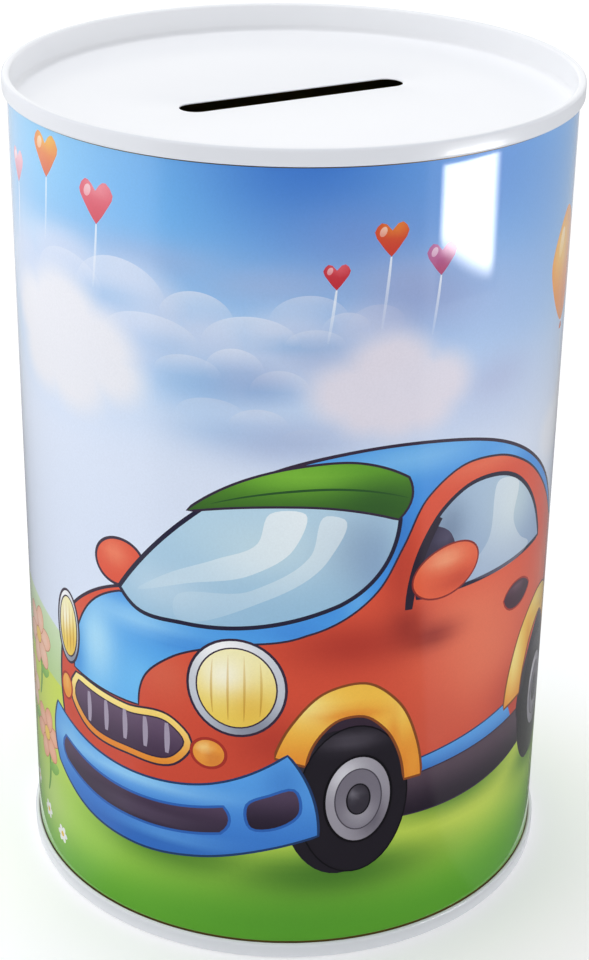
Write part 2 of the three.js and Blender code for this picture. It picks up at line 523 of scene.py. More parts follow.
# %% [markdown]
# ### The coin slot
#
# The slot is punched clean through the panel, so its edge shows one thickness of plate, with
# the small rolled-over corner that a punch leaves on the upper side. Rows of the slot's
# outline, each a little further in and down, make that edge. The flat panel round it is
# filled in between the rim's circle and the slot's first row. The side that faces into the
# tin has the body's gold lacquer instead of enamel.


# %% Top end
SLOT_LENGTH = 44
SLOT_WIDTH = 5.8
SLOT_ARC_STEPS = 24


def round_ended(length, width, z, steps=SLOT_ARC_STEPS):
    """Points of an outline along X with half-round ends."""
    radius = width / 2
    reach = length / 2 - radius
    points = []
    for side, start in ((1, -math.pi / 2), (-1, math.pi / 2)):
        for angle in np.linspace(start, start + math.pi, steps + 1):
            x = side * reach + radius * math.cos(angle)
            points.append((x, radius * math.sin(angle), z))
    return points


def loft(shape, rows):
    """Joins rows of points of equal count, and returns the first and last row's edges."""
    rings = [[shape.verts.new(point) for point in row] for row in rows]
    for ring, following in zip(rings, rings[1:]):
        for i in range(len(ring)):
            j = (i + 1) % len(ring)
            shape.faces.new((ring[i], ring[j], following[j], following[i]))
    return [loop_edges(ring) for ring in (rings[0], rings[-1])]


def loop_edges(ring):
    """The edges between the vertices of a closed ring."""
    found = []
    for i, vertex in enumerate(ring):
        after = ring[(i + 1) % len(ring)]
        found += [edge for edge in vertex.link_edges if edge.other_vert(vertex) is after]
    return found


def open_loop(shape, z):
    """The open edges of a shape at that height."""
    return [
        edge
        for edge in shape.edges
        if edge.is_boundary and all(abs(v.co.z - z) < 0.01 for v in edge.verts)
    ]


def lacquer_inside(piece, outward):
    """Gives the panel's side that faces into the tin its gold lacquer."""
    piece.data.materials.append(GOLD_LACQUER)
    for face in piece.data.polygons:
        if face.center.xy.length < CHUCK_R * MM and face.normal.z * outward < -0.3:
            face.material_index = 1
    return piece


def top_end():
    join_r = CHUCK_R - 3
    section = [[join_r, PANEL_FACE - PLATE], *end_section(), [join_r, PANEL_FACE]]
    shape = turned(rounded(section), ENAMEL, closed=False)
    bmesh.ops.remove_doubles(shape, verts=shape.verts, dist=1e-3)
    edge = [(0.16, 0), (0.1, 0.012), (0.04, 0.045), (0.0, 0.1), (0.0, 0.22), (0.03, PLATE)]
    rows = [
        round_ended(SLOT_LENGTH + 2 * out, SLOT_WIDTH + 2 * out, PANEL_FACE - down)
        for out, down in edge
    ]
    face_edges, under_edges = loft(shape, rows)
    for edges, z in ((face_edges, PANEL_FACE), (under_edges, PANEL_FACE - PLATE)):
        rim = [edge for edge in open_loop(shape, z) if edge.verts[0].co.xy.length > join_r - 1]
        bmesh.ops.triangle_fill(shape, edges=rim + edges, use_beauty=True)
    piece = finished_piece("white_top_end", shape, [ENAMEL], "tin", "top_end")
    return lacquer_inside(piece, 1)


top_end()

# %% [markdown]
# ### The bottom end and the seals
#
# The same section upside down, with a hole in the middle whose edge is turned up into the
# tin. Each seam also hides a thin ring of sealing compound.

# %% Bottom end and seals
HOLE_R = 19
HOLE_LIP = 1.3
SEAL_THICKNESS = 0.58


def bottom_end():
    lip_foot = PANEL_FACE - PLATE - HOLE_LIP
    section = [
        [HOLE_R, lip_foot],
        [HOLE_R + PLATE, lip_foot],
        [HOLE_R + PLATE, PANEL_FACE - PLATE, 0.4],
        *end_section(),
        [HOLE_R, PANEL_FACE, 0.65],
    ]
    shape = turned(rounded(upside_down(section)), ENAMEL)
    piece = finished_piece(
        "white_bottom_end", shape, [ENAMEL], "tin", "bottom_end"
    )
    return lacquer_inside(piece, -1)


def seal(name, node):
    low, high = size_mm(node)
    outer = high[0]
    inner = outer - SEAL_THICKNESS
    middle = (low[2] + high[2]) / 2
    half = (high[2] - low[2]) / 2
    section = [
        [inner, middle - half, half * 0.6],
        [outer, middle - half, half * 0.6],
        [outer, middle + half, half * 0.6],
        [inner, middle + half, half * 0.6],
    ]
    shape = turned(rounded(section, steps=3), COMPOUND)
    return finished_piece(name, shape, [COMPOUND], "tin", node)


bottom_end()
seal("top_seal_ring", "top_seal")
seal("bottom_seal_ring", "bottom_seal")

# %% [markdown]
# ## The plug
#
# A moulded plug has a thin flange, a skirt with two ribs that grip the hole, and a bar across
# its face for the fingers. The turned part and the bar are one closed skin.

# %% Plug
PLUG_HIGH = size_mm("base_plug")[1]
FLANGE_R = PLUG_HIGH[0]
FLANGE_TOP = PANEL_DEPTH - FIT
FLANGE_FOOT = FLANGE_TOP - 1.3
GRIP_LENGTH = 27
GRIP_WIDTH = 3.4


def base_plug():
    rib_r = HOLE_R - 0.07
    skirt_r = rib_r - 0.35
    wall = 1.4
    face_r = FLANGE_R - 3
    cup_r = skirt_r - wall
    section = [[face_r, FLANGE_FOOT], [FLANGE_R, FLANGE_FOOT, 0.45]]
    section += [[FLANGE_R, FLANGE_TOP, 0.45], [skirt_r, FLANGE_TOP]]
    for low in (PANEL_DEPTH + PLATE / 2, PANEL_DEPTH + PLATE + HOLE_LIP + 0.9):
        section += [[skirt_r, low], [rib_r, low + 0.45, 0.2], [skirt_r, low + 0.9]]
    section += [[skirt_r, PLUG_HIGH[2], 0.4], [cup_r, PLUG_HIGH[2], 0.4]]
    section += [[cup_r, FLANGE_TOP, 0.8], [cup_r - 3, FLANGE_TOP]]
    shape = turned(rounded(section, steps=4), POLYETHYLENE, closed=False)
    bmesh.ops.remove_doubles(shape, verts=shape.verts, dist=1e-3)
    bend = [(0.5, 0), (0.2, 0.08), (0.05, 0.3), (0.0, 0.6), (-0.1, 1.5), (-0.25, 1.8), (-0.6, 2)]
    rows = [
        round_ended(GRIP_LENGTH + 2 * out, GRIP_WIDTH + 2 * out, FLANGE_FOOT - down, 10)
        for out, down in bend
    ]
    root_edges, tip_edges = loft(shape, rows)
    rim = [e for e in open_loop(shape, FLANGE_FOOT) if e.verts[0].co.xy.length > face_r - 1]
    bmesh.ops.triangle_fill(shape, edges=rim + root_edges, use_beauty=True)
    bmesh.ops.triangle_fill(shape, edges=tip_edges, use_beauty=True)
    bmesh.ops.triangle_fill(shape, edges=open_loop(shape, FLANGE_TOP), use_beauty=True)
    return finished_piece(
        "moulded_base_plug", shape, [POLYETHYLENE], "plug", "base_plug"
    )


base_plug()

# %% [markdown]
# ## The printed picture
#
# The picture is drawn flat, as the printer did, in millimetres of sheet: x runs to the right
# from the picture's middle, y is height above the floor. It is a pile of outlines, each with
# an ink, painted from the back to the front. An ink may be shaded like airbrush work.
#
# Blender's constrained triangulation turns the pile into one flat mesh in which every outline
# is an edge, and says which outlines cover each triangle. So the picture is as sharp as the
# mesh, at any distance, and needs no image.


# %% Outlines
def line(*points):
    """A smooth open line through the points; two points make a straight one."""
    p = np.array(points, float)
    if len(p) == 2:
        return p
    step = np.linalg.norm(np.diff(p, axis=0), axis=1)[:, None]
    speed = np.diff(p, axis=0) / step
    inner = (speed[:-1] * step[1:] + speed[1:] * step[:-1]) / (step[1:] + step[:-1])
    tangent = np.vstack([2 * speed[0] - inner[0], inner, 2 * speed[-1] - inner[-1]])
    return hermite(p, tangent, step)


def loop(*points):
    """A smooth closed line through the points."""
    p = np.array([*points, points[0]], float)
    step = np.linalg.norm(np.diff(p, axis=0), axis=1)[:, None]
    speed = np.diff(p, axis=0) / step
    before, width = np.roll(speed, 1, axis=0), np.roll(step, 1, axis=0)
    tangent = (before * step + speed * width) / (step + width)
    return hermite(p, np.vstack([tangent, tangent[:1]]), step)[:-1]


def hermite(p, tangent, step, spacing=0.9):
    """Points along a curve that passes each of p with its tangent."""
    pieces = []
    for i in range(len(p) - 1):
        count = max(2, int(step[i, 0] / spacing))
        t = np.linspace(0, 1, count, endpoint=False)[:, None]
        reach = tangent[i] * step[i], tangent[i + 1] * step[i]
        pieces.append(
            (2 * t**3 - 3 * t**2 + 1) * p[i]
            + (t**3 - 2 * t**2 + t) * reach[0]
            + (3 * t**2 - 2 * t**3) * p[i + 1]
            + (t**3 - t**2) * reach[1]
        )
    return np.vstack([*pieces, p[-1:]])


def shape_of(*lines):
    """Open lines joined end to end, with a corner wherever two of them meet."""
    return np.vstack([part[:-1] for part in lines])


def oval(x, y, rx, ry, tilt=0, count=44):
    """An oval outline, tilted anticlockwise in degrees."""
    a = np.linspace(0, 2 * math.pi, count, endpoint=False)
    c, s = math.cos(math.radians(tilt)), math.sin(math.radians(tilt))
    u, v = rx * np.cos(a), ry * np.sin(a)
    return np.column_stack([x + c * u - s * v, y + s * u + c * v])


def grown(outline, by):
    """The outline pushed outwards, for a key line of that width round it."""
    after, before = np.roll(outline, -1, axis=0), np.roll(outline, 1, axis=0)
    area = np.sum(outline[:, 0] * after[:, 1] - after[:, 0] * outline[:, 1])
    along = after - before
    along = along / np.maximum(np.linalg.norm(along, axis=1)[:, None], 1e-9)
    out = np.column_stack([along[:, 1], -along[:, 0]]) * (1 if area > 0 else -1)
    return outline + out * by


def brushed(path, width, ends=0.15):
    """A stroke along an open path, full in the middle and fine at both ends."""
    along = np.gradient(path, axis=0)
    along = along / np.linalg.norm(along, axis=1)[:, None]
    side = np.column_stack([-along[:, 1], along[:, 0]])
    share = np.linspace(0, 1, len(path))[:, None]
    half = width / 2 * (ends + (1 - ends) * np.sin(math.pi * share) ** 0.7)
    return np.vstack([path + side * half, (path - side * half)[::-1]])


# %% [markdown]
# An ink is a function of place that gives a colour and how much it covers. `airbrush` is a
# flat or graded colour with soft spots blown onto it; `mist`, `glow` and `fade` are see-through.

# %% Inks
WALL_LENGTH = 2 * math.pi * BODY_R
REPEAT = WALL_LENGTH / 2  # the picture is printed twice round the tin
KEY = "#3B2D42"


def across(x, middle):
    """Distance to the right of middle, the short way round one repeat of the picture."""
    return (x - middle + REPEAT / 2) % REPEAT - REPEAT / 2


def airbrush(base, *spots, cover=1.0):
    """base is a hex colour or (low y, hex, high y, hex); a spot is (x, y, rx, ry, hex, depth)."""

    def ink(x, y):
        if isinstance(base, str):
            colour = np.tile(srgb(base), (len(x), 1))
        else:
            share = np.clip((y - base[0]) / (base[2] - base[0]), 0, 1)[:, None]
            share = share * share * (3 - 2 * share)
            colour = srgb(base[1]) * (1 - share) + srgb(base[3]) * share
        for sx, sy, rx, ry, hexcode, depth in spots:
            reach = (across(x, sx) / rx) ** 2 + ((y - sy) / ry) ** 2
            weight = (depth * np.exp(-reach))[:, None]
            colour = colour + (srgb(hexcode) - colour) * weight
        return colour, np.full(len(x), cover)

    return ink


def mist(hexcode, puffs, soft, cover=1.0):
    """A soft-edged cloud of round puffs (x, y, radius)."""

    def ink(x, y):
        inside = np.full(len(x), -9.0)
        for px, py, radius in puffs:
            away = np.hypot(across(x, px), (y - py) * 1.25)
            inside = np.maximum(inside, (radius - away) / soft)
        share = np.clip(inside, 0, 1)
        return np.tile(srgb(hexcode), (len(x), 1)), cover * share * share * (3 - 2 * share)

    return ink


def glow(hexcode, *spots):
    """One colour blown on as see-through spots (x, y, rx, ry, depth)."""

    def ink(x, y):
        cover = np.zeros(len(x))
        for sx, sy, rx, ry, depth in spots:
            reach = (across(x, sx) / rx) ** 2 + ((y - sy) / ry) ** 2
            cover = np.maximum(cover, depth * np.exp(-reach))
        return np.tile(srgb(hexcode), (len(x), 1)), cover

    return ink


def fade(hexcode, start, end, cover=1.0):
    """One colour that covers fully at start and not at all at end, both (x, y)."""
    start, end = np.array(start, float), np.array(end, float)
    way = end - start

    def ink(x, y):
        share = ((x - start[0]) * way[0] + (y - start[1]) * way[1]) / (way @ way)
        return np.tile(srgb(hexcode), (len(x), 1)), cover * np.clip(1 - share, 0, 1)

    return ink


PICTURE = []  # (outline, ink), from the back of the picture to its front


def lay(outline, ink, key=0.0, key_ink=KEY):
    """Puts an inked outline on the pile, with a key line round it if key is its width."""
    if key:
        PICTURE.append((grown(outline, key), airbrush(key_ink)))
    PICTURE.append((outline, ink if callable(ink) else airbrush(ink)))


# %% [markdown]
# ### Sky
#
# A sky like this is airbrushed on real tins, so nothing in it has a hard edge. It is one ink
# over the whole sheet: graded from pale to blue, with soft spots, and see-through haze on it.

# %% Sky
SHEET_LOW = SEAM_HEIGHT + 0.3
SHEET_HIGH = SEAM_FOOT - 0.3
SEAM_TO_MIDDLE = ((FRONT - math.pi / 2 - LAP_ANGLE) % (2 * math.pi)) * BODY_R
LEFT = -SEAM_TO_MIDDLE
RIGHT = WALL_LENGTH - SEAM_TO_MIDDLE


def sheet_inside(margin):
    """The sheet's outline, with its two seam edges moved in by margin."""
    left, right = LEFT + margin, RIGHT - margin
    low, high = SHEET_LOW, SHEET_HIGH
    return np.array([(left, low), (right, low), (right, high), (left, high)])


WHOLE = sheet_inside(0)


def sky():
    blues = airbrush(
        (94, "#DCE6F8", 148, "#76B2EC"),
        (-52, 147, 26, 14, "#90D2F8", 0.8),
        (-22, 143, 14, 10, "#74BAF4", 0.7),
        (3, 151, 18, 13, "#3672CC", 0.85),
        (12, 138, 14, 7, "#7A94D2", 0.6),
        (34, 147, 16, 13, "#5C8EDA", 0.65),
        (50, 139, 14, 14, "#7AA6E2", 0.6),
        (40, 123, 22, 10, "#A4BEEA", 0.6),
        (38, 106, 22, 8, "#BCCAEA", 0.5),
        (75, 132, 18, 18, "#86B4E2", 0.6),
    )
    lay(WHOLE, blues)
    haze = [(-24, 133, 15, 3.4, 0.5), (-3, 130.6, 13, 3.4, 0.5), (18, 131, 9, 4, 0.5)]
    lay(WHOLE, glow("#AEB9DC", *haze))
    lay(WHOLE, glow("#E6ECF7", (-49, 130.5, 13, 3.8, 0.5)))
    bank = [
        (-56, 121, 15),
        (-42, 123, 17),
        (-28, 122, 16),
        (-14, 118, 13),
        (0, 119, 13),
        (13, 120, 12),
    ]
    lay(WHOLE, mist("#CCD8F0", bank, 8, 0.85))
    hollows = [
        (-32, 125, 7, 2.4, 0.45),
        (-15, 113, 9, 4.5, 0.7),
        (-5, 112.5, 7, 2.2, 0.5),
        (1, 120.4, 7, 1.6, 0.5),
        (-21, 118, 7, 2.6, 0.3),
        (-12, 105, 8, 3, 0.3),
    ]
    lay(WHOLE, glow("#8DBBE8", *hollows))


# %% [markdown]
# ### Clouds
#
# A far bank of mist is already in the sky. Each billow on it is an oval that is lit along its
# top and fades away below, which is how an airbrush is used with a mask. Billows are laid on
# the front only. The nearest clouds are plain soft mist.


# %% Clouds
def cloud_top(x, top, width, height, cover):
    """The lit upper edge of one billow, fading away below."""
    billow = oval(x, top - height, width, height)
    lay(billow, fade("#DEE6F6", (x, top), (x, top - height * 0.95), cover))


def clouds():
    for billow in (
        (-42, 130.5, 9, 6, 0.5),
        (-30, 132, 9.5, 7, 0.7),
        (-15.5, 128.6, 6.5, 5, 0.75),
        (3, 129, 6.5, 4.6, 0.55),
        (14, 127, 5, 4, 0.35),
        (-24, 123.6, 9, 4.4, 0.65),
        (-6.5, 125.2, 8, 4.8, 0.75),
        (9, 126, 4, 3, 0.55),
        (4, 123.2, 5, 3, 0.6),
        (-17, 117.6, 6, 3.4, 0.55),
        (-9, 119.6, 5, 4.2, 0.8),
        (-1.6, 116.2, 5, 4, 0.8),
        (-13, 110.6, 6, 3, 0.45),
        (-5, 109.3, 5, 3.2, 0.65),
        (3, 106, 5, 3, 0.4),
    ):
        cloud_top(*billow)
    shaded = [(0, 103.6, 13, 4.4, 0.4), (-6, 113.6, 8, 4, 0.4), (5, 118.6, 8, 4, 0.3)]
    lay(WHOLE, glow("#8397C6", *shaded))
    lay(WHOLE, glow("#9590BC", (22, 127, 13, 6, 0.4), (38, 110, 8, 4, 0.2)))
    near = [
        (-53, 116, 12),
        (-44, 118, 14),
        (-36, 114.5, 13),
        (-31, 111, 9.5),
        (-50, 110, 12),
        (-41, 109, 12),
    ]
    lay(WHOLE, mist("#EBEBF1", near, 7, 0.96))
    pink = [
        (10, 112, 10),
        (17, 115, 11.5),
        (25, 112, 10),
        (13, 109, 9),
        (18, 108.5, 9.5),
        (23, 108.5, 9),
    ]
    lay(WHOLE, mist("#E9E1EA", pink, 6.5, 0.88))
    back = [(62, 92, 10), (70, 95, 11), (78, 91, 9)]
    lay(WHOLE, mist("#F1F2F8", back, 6, 0.7))


# %% [markdown]
# ### Meadow
#
# Two rolling skylines, one behind the other. Each is a cosine that repeats with the picture,
# so it meets itself at the back of the tin.


# %% Meadow
def hill(height, swing, crest):
    """A rolling skyline that meets itself round the tin, closed along the sheet's foot."""
    x = np.linspace(LEFT, RIGHT, 161)
    y = height + swing * np.cos(2 * math.pi * (x - crest) / REPEAT)
    return np.vstack([np.column_stack([x, y]), WHOLE[1], WHOLE[0]])


def meadow():
    far_grass = airbrush((34, "#B9D58B", 62, "#DCEBD0"), (-62, 44, 16, 16, "#A9CF8A", 0.5))
    lay(hill(50, 9, -72), far_grass)
    lay(
        hill(38, 7, -66),
        airbrush(
            (5, "#62AE30", 31, "#D0E25A"),
            (-45, 17, 20, 9, "#B4E05C", 0.7),
            (-56, 15, 9, 9, "#D0E498", 0.6),
            (38, 26, 20, 8, "#DCE65C", 0.7),
            (70, 20, 20, 12, "#97C64E", 0.4),
            (2, 8, 26, 6, "#529A2C", 0.5),
        ),
    )


# %% [markdown]
# ### Balloons and flowers
#
# Small things that are drawn more than once, so each kind is a function of its place, size and
# colours: an outline from a few points, a graded ink, and a spot of shine on top.


# %% Balloons and flowers
def heart_balloon(x, y, width, colour, glow, string):
    """A heart-shaped balloon, its lowest point at (x, y), on a white string."""
    w = width / 2
    right = line((0, 0), (0.62 * w, 0.75 * w), (w, 1.45 * w), (0.62 * w, 1.95 * w), (0, 1.5 * w))
    outline = np.vstack([right[:-1], (right[::-1] * (-1, 1))[:-1]]) + (x, y)
    sway = line((x, y), (x - 0.4, y - string * 0.4), (x - 1.2, y - string))
    lay(brushed(sway, 0.5, ends=0.6), fade("#F5F8FC", (x, y), (x, y - string * 1.15), 0.85))
    lay(
        outline,
        airbrush(
            colour,
            (x + 0.2 * w, y + 1.8 * w, 0.9 * w, 0.6 * w, glow, 0.75),
            (x, y, 0.8 * w, 0.9 * w, "#C0303C", 0.35),
        ),
    )
    shine = oval(x - 0.5 * w, y + 1.45 * w, 0.2 * w, 0.3 * w, -25, 14)
    lay(shine, fade("#FFFFFF", (x, y + 2 * w), (x, y), 0.7))


def round_balloon(x, y, rx, ry, colour, glow, shade):
    sway = line((x, y - ry), (x + 1.2, y - ry - 5), (x + 0.2, y - ry - 12))
    lay(brushed(sway, 0.5, ends=0.6), fade("#F5F8FC", (x, y - ry), (x, y - ry - 14), 0.85))
    lay(loop((x, y - ry - 0.2), (x + 1, y - ry - 1.5), (x - 1, y - ry - 1.5)), shade)
    skin = airbrush(
        colour,
        (x - rx * 0.35, y + ry * 0.35, rx * 0.7, ry * 0.6, glow, 0.85),
        (x + rx * 0.7, y - ry * 0.5, rx * 0.7, ry * 0.9, shade, 0.5),
    )
    lay(loop((x, y - ry), (x + rx, y + ry * 0.2), (x, y + ry), (x - rx, y + ry * 0.2)), skin)
    shine = oval(x - rx * 0.4, y + ry * 0.45, rx * 0.16, ry * 0.26, -20, 16)
    lay(shine, fade("#FFFFFF", (x, y + ry), (x, y), 0.8))


def flower(x, y, radius, petal, edge, centre):
    stem = line((x, y), (x + 1.2, y - 6), (x - 0.4, y - 13))
    lay(brushed(stem, 1.0, ends=0.5), "#6FA544")
    leaf = loop((x + 0.8, y - 7), (x + 4.2, y - 4.6), (x + 5.6, y - 5.4), (x + 3.6, y - 7.6))
    lay(leaf, airbrush("#7DB64C", (x + 4, y - 5, 2, 1.5, "#A9D46A", 0.7)))
    for petal_number in range(6):
        a = math.radians(60 * petal_number + 12)
        px, py = x + radius * 0.62 * math.cos(a), y + radius * 0.62 * math.sin(a)
        shading = airbrush(petal, (px, py, radius * 0.3, radius * 0.3, edge, 0.7))
        blade = oval(px, py, radius * 0.48, radius * 0.34, math.degrees(a), 20)
        lay(blade, shading, 0.18, "#C77B57")
    lay(oval(x, y, radius * 0.26, radius * 0.26, 0, 18), airbrush(centre), 0.15, "#A8702C")


def garden():
    flower(-60, 49, 6.2, "#F2B79A", "#F9D9C4", "#F5CE5A")
    flower(-67, 36, 5.2, "#F4C6A8", "#FBE6D2", "#F2C24C")
    flower(-57, 29, 5.6, "#EFA585", "#F7CDB4", "#F5CE5A")
    for x, y in ((-58, 11), (-66, 14), (-51, 9.5), (68, 12), (74, 9)):
        for petal_number in range(6):
            a = math.radians(60 * petal_number)
            px, py = x + 1.1 * math.cos(a), y + 1.1 * math.sin(a)
            lay(oval(px, py, 0.85, 0.6, math.degrees(a), 12), "#F6F7F4")
        lay(oval(x, y, 0.6, 0.6, 0, 10), "#F3C93E")


def balloons():
    heart_balloon(-59.5, 137.2, 6, "#E79FB4", "#F6C9D4", 11)
    heart_balloon(-47, 141.4, 7.6, "#E8803A", "#F5CE3E", 11)
    heart_balloon(-34, 136.6, 7.4, "#E0586C", "#F2A0A8", 11)
    heart_balloon(7.2, 129.8, 4.4, "#C8323E", "#E8707A", 9)
    heart_balloon(16, 134.8, 5.8, "#D4482C", "#EE9A3C", 12)
    heart_balloon(25, 130.6, 5.6, "#B25A92", "#DE9CC4", 10)
    round_balloon(63, 123, 8, 10.5, "#EC8F34", "#F8D06A", "#D3622C")


# %% [markdown]
# ### The toy car
#
# A plain toy saloon seen from three quarters: painted panels, glass with light bands across
# it, round lamps, a barred grille, and wheels with grey hubs. Each panel has the dark key
# line of comic work, and airbrushed light from above.

# %% Car: shell
RED = "#E4573C"
RED_LIGHT = "#F68C68"
RED_DARK = "#AC3328"
BLUE = "#4696E6"
BLUE_LIGHT = "#A4DCFC"
BLUE_DARK = "#2C64B8"
YELLOW = "#F8C24A"
YELLOW_LIGHT = "#FDE992"
YELLOW_DARK = "#E8892C"
RUBBER = "#26222B"


def car_shell():
    shade = [
        (-20, 20, 16, 4, 0.45),
        (9, 18, 17, 4.4, 0.6),
        (34, 28.6, 14, 3.4, 0.45),
        (62, 25, 9, 3.6, 0.45),
    ]
    lay(WHOLE, glow("#3F7424", *shade))
    lay(oval(-31, 76.5, 5.2, 4.2, 15), airbrush(RED, (-32, 78, 3, 2.4, RED_LIGHT, 0.8)), 0.55)
    silhouette = shape_of(
        line((-47.5, 38), (-48, 50), (-45, 61), (-38.5, 67.5), (-31, 71.5)),
        line((-31, 71.5), (-24.4, 80.4), (-15, 89.8), (-2, 98), (12, 101.3), (26, 101), (40, 97.4),
             (52, 90.5), (61, 82), (66.5, 73)),
        line((66.5, 73), (70.5, 68), (71.5, 56), (70.5, 40)),
        line((70.5, 40), (46, 35), (24, 33), (0, 31), (-24, 29), (-47.5, 38)),
    )
    body = airbrush(
        (32, "#D04A34", 80, RED),
        (40, 56, 15, 13, RED_LIGHT, 0.6),
        (33, 66, 12, 7, RED_LIGHT, 0.5),
        (12, 65, 13, 5, RED_DARK, 0.75),
        (27, 44, 6, 6, "#D65A42", 0.7),
        (50, 44, 8, 6, RED_DARK, 0.4),
        (-30, 44, 14, 8, "#D6523C", 0.6),
        (-22, 57, 6, 6, "#DE6A50", 0.7),
        (-45, 60, 5, 6, "#DE7258", 0.7),
        (-2, 46, 7, 5, RED_DARK, 0.55),
        (64, 64, 7, 7, RED_LIGHT, 0.5),
        (38, 94.6, 13, 2.2, RED_LIGHT, 0.45),
        (20, 78, 3.6, 10, RED_DARK, 0.55),
        (26.6, 64, 5.4, 2.4, "#8E2A24", 0.75),
        (21.6, 67.4, 3.4, 3.4, "#8E2A24", 0.6),
    )
    lay(silhouette, body, 0.6)


def car_blue_panels():
    """The roof, its pillar and the bonnet, one painted skin round the windscreen."""
    roof = shape_of(
        line((-14, 91.5), (-2, 98), (12, 101.3), (26, 101), (40, 97.4), (52, 90.5), (61, 82),
             (66.5, 73)),
        line((66.5, 73), (58.5, 83), (49, 91), (40, 95.2), (31, 95.6), (24.5, 91.5), (20, 83),
             (15.6, 75.2), (9.4, 70.2), (2, 67.4)),
        line((2, 67.4), (-8, 70), (8, 78), (17, 88), (8, 92), (-14, 91.5)),
    )
    bonnet = shape_of(
        line((-31, 70.6), (-38, 66), (-42.5, 58), (-43.6, 50.5)),
        line((-43.6, 50.5), (-36, 49.4), (-27.5, 49.2)),
        line((-27.5, 49.2), (-26.4, 55), (-21, 60.6), (-12, 64.6), (2, 67.2), (9.6, 70.6)),
        line((9.6, 70.6), (2, 73), (-10, 72), (-31, 70.6)),
    )
    paint = airbrush(
        (48, "#62B6F4", 78, BLUE),
        (-37, 59, 5, 9, "#B4E4FC", 0.9),
        (-27, 66.5, 10, 2.6, "#A6DCFC", 0.75),
        (-27, 54, 4, 5, "#74C4F8", 0.7),
        (-43, 53, 2.4, 6, "#3F8FDC", 0.7),
        (-16, 63.6, 8, 1.8, "#3C86DA", 0.6),
        (2, 68, 5, 2, "#3F88DE", 0.6),
        (12, 74, 2.4, 4, "#7CC2F6", 0.5),
        (22, 99, 16, 3.4, BLUE_LIGHT, 0.55),
        (44, 95, 8, 3, "#7CBCF4", 0.6),
        (19, 85, 3, 6, BLUE_DARK, 0.45),
    )
    lay(grown(roof, 0.4), KEY)
    lay(grown(bonnet, 0.4), KEY)
    lay(roof, paint)
    lay(bonnet, paint)


# %% [markdown]
# Glass is pale and cool, with bright bands across it where a curved pane mirrors the sky. The
# green band along the top of the windscreen is its sun visor.


# %% Car: glass
def swoosh(*points, cover=0.5):
    """A band of light across glass, fading towards its lower left."""
    band = loop(*points)
    lay(band, fade("#F2F8FA", (band[:, 0].max(), band[:, 1].max()),
                   (band[:, 0].min(), band[:, 1].min() - 8), cover))


def car_glass():
    screen = shape_of(
        line((-30.5, 71.8), (-24, 80.5), (-14.5, 90)),
        line((-14.5, 90), (-4, 92), (8, 91.6), (19, 89)),
        line((19, 89), (16.5, 80), (9, 73.5)),
        line((9, 73.5), (-4, 69.6), (-18, 68.4), (-28, 69.4), (-30.5, 71.8)),
    )
    lay(screen, airbrush(
        (68, "#9AC2DE", 92, "#B6D6EA"),
        (-3, 84, 12, 6, "#CFE4EA", 0.6),
        (12, 84, 6, 7, "#8FA9C4", 0.6),
        (-22, 74, 9, 5, "#C6DDEC", 0.7),
        (15, 80, 4, 8, "#7E9AC0", 0.5),
    ), 0.8, "#2A2740")
    swoosh((-27, 72.6), (-17, 76), (-6, 79), (1, 84), (3, 90.6), (-3, 90.6), (-5, 85), (-12, 81.4),
           (-21, 77), cover=0.9)
    swoosh((-20, 70.2), (-4, 74), (7, 82), (9.5, 89.4), (6.5, 90.2), (4, 83), (-6, 76),
           (-20, 71.6), cover=0.65)
    visor = shape_of(
        line((-17, 89.8), (-9, 95.4), (2, 99), (12, 99.2), (20.5, 95.6)),
        line((20.5, 95.6), (21.2, 92), (19, 88.4)),
        line((19, 88.4), (8, 91.6), (-4, 92), (-17, 89.8)),
    )
    lay(visor, airbrush(
        (89, "#3B6A28", 99, "#63A42E"),
        (2, 97.5, 10, 2.5, "#83C23E", 0.8),
        (15, 92, 7, 4, "#2F5A2C", 0.6),
    ), 0.45)
    lay(brushed(line((-13, 91.6), (-1, 94.6), (10, 94.8), (20.6, 92)), 0.45), "#2F5A2C")


# %% [markdown]
# Doors, mirrors and lamps follow the same rule. The door needs no seam lines: a darker spot
# under the mirror and a lighter one on the side give the panel its swell.


# %% Car: doors, wings and lamps
def car_side():
    window = shape_of(
        line((23.5, 72.6), (24, 80), (27.5, 87.5), (33, 91), (40, 91), (48, 87)),
        line((48, 87), (54, 80), (57, 73)),
        line((57, 73), (40, 72.6), (23.5, 72.6)),
    )
    lay(window, airbrush(
        (72, "#98B0D0", 92, "#AEC6DE"),
        (46, 84, 7, 7, "#CADDE2", 0.75),
        (29, 84, 4, 6, "#6F84A0", 0.7),
    ), 0.8, "#2A2740")
    seat = shape_of(
        line((23.5, 72.6), (24, 80), (26, 85.4), (29, 84), (31, 80), (32, 72.6)),
        line((32, 72.6), (23.5, 72.6)),
    )
    lay(seat, airbrush("#37304A", (28.6, 83, 2.4, 2, "#5C5874", 0.8)))
    swoosh((33, 74), (38.6, 79), (41, 90), (47, 87.6), (46, 80.6), (49, 76), (52, 74), cover=0.7)
    lay(loop((44.6, 64.6), (46, 62.6), (52, 62.4), (54, 64.4), (52, 66.2), (46.4, 66.4)),
        airbrush("#4B2F40", (49, 65.6, 3, 0.8, "#8A6A78", 0.8)), 0.35, RED_DARK)
    lay(brushed(line((27, 87), (23.8, 81), (22.2, 75.4), (21.6, 70.4)), 1.9, 0.75), "#2F2638")
    lay(oval(29.2, 76.2, 7, 4.7, 14), airbrush(
        "#EC6440",
        (28.6, 78.6, 4.2, 2, "#FBAE84", 0.85),
        (32, 73.8, 5, 2, "#C23F2A", 0.6),
    ), 0.35, "#8E2C28")


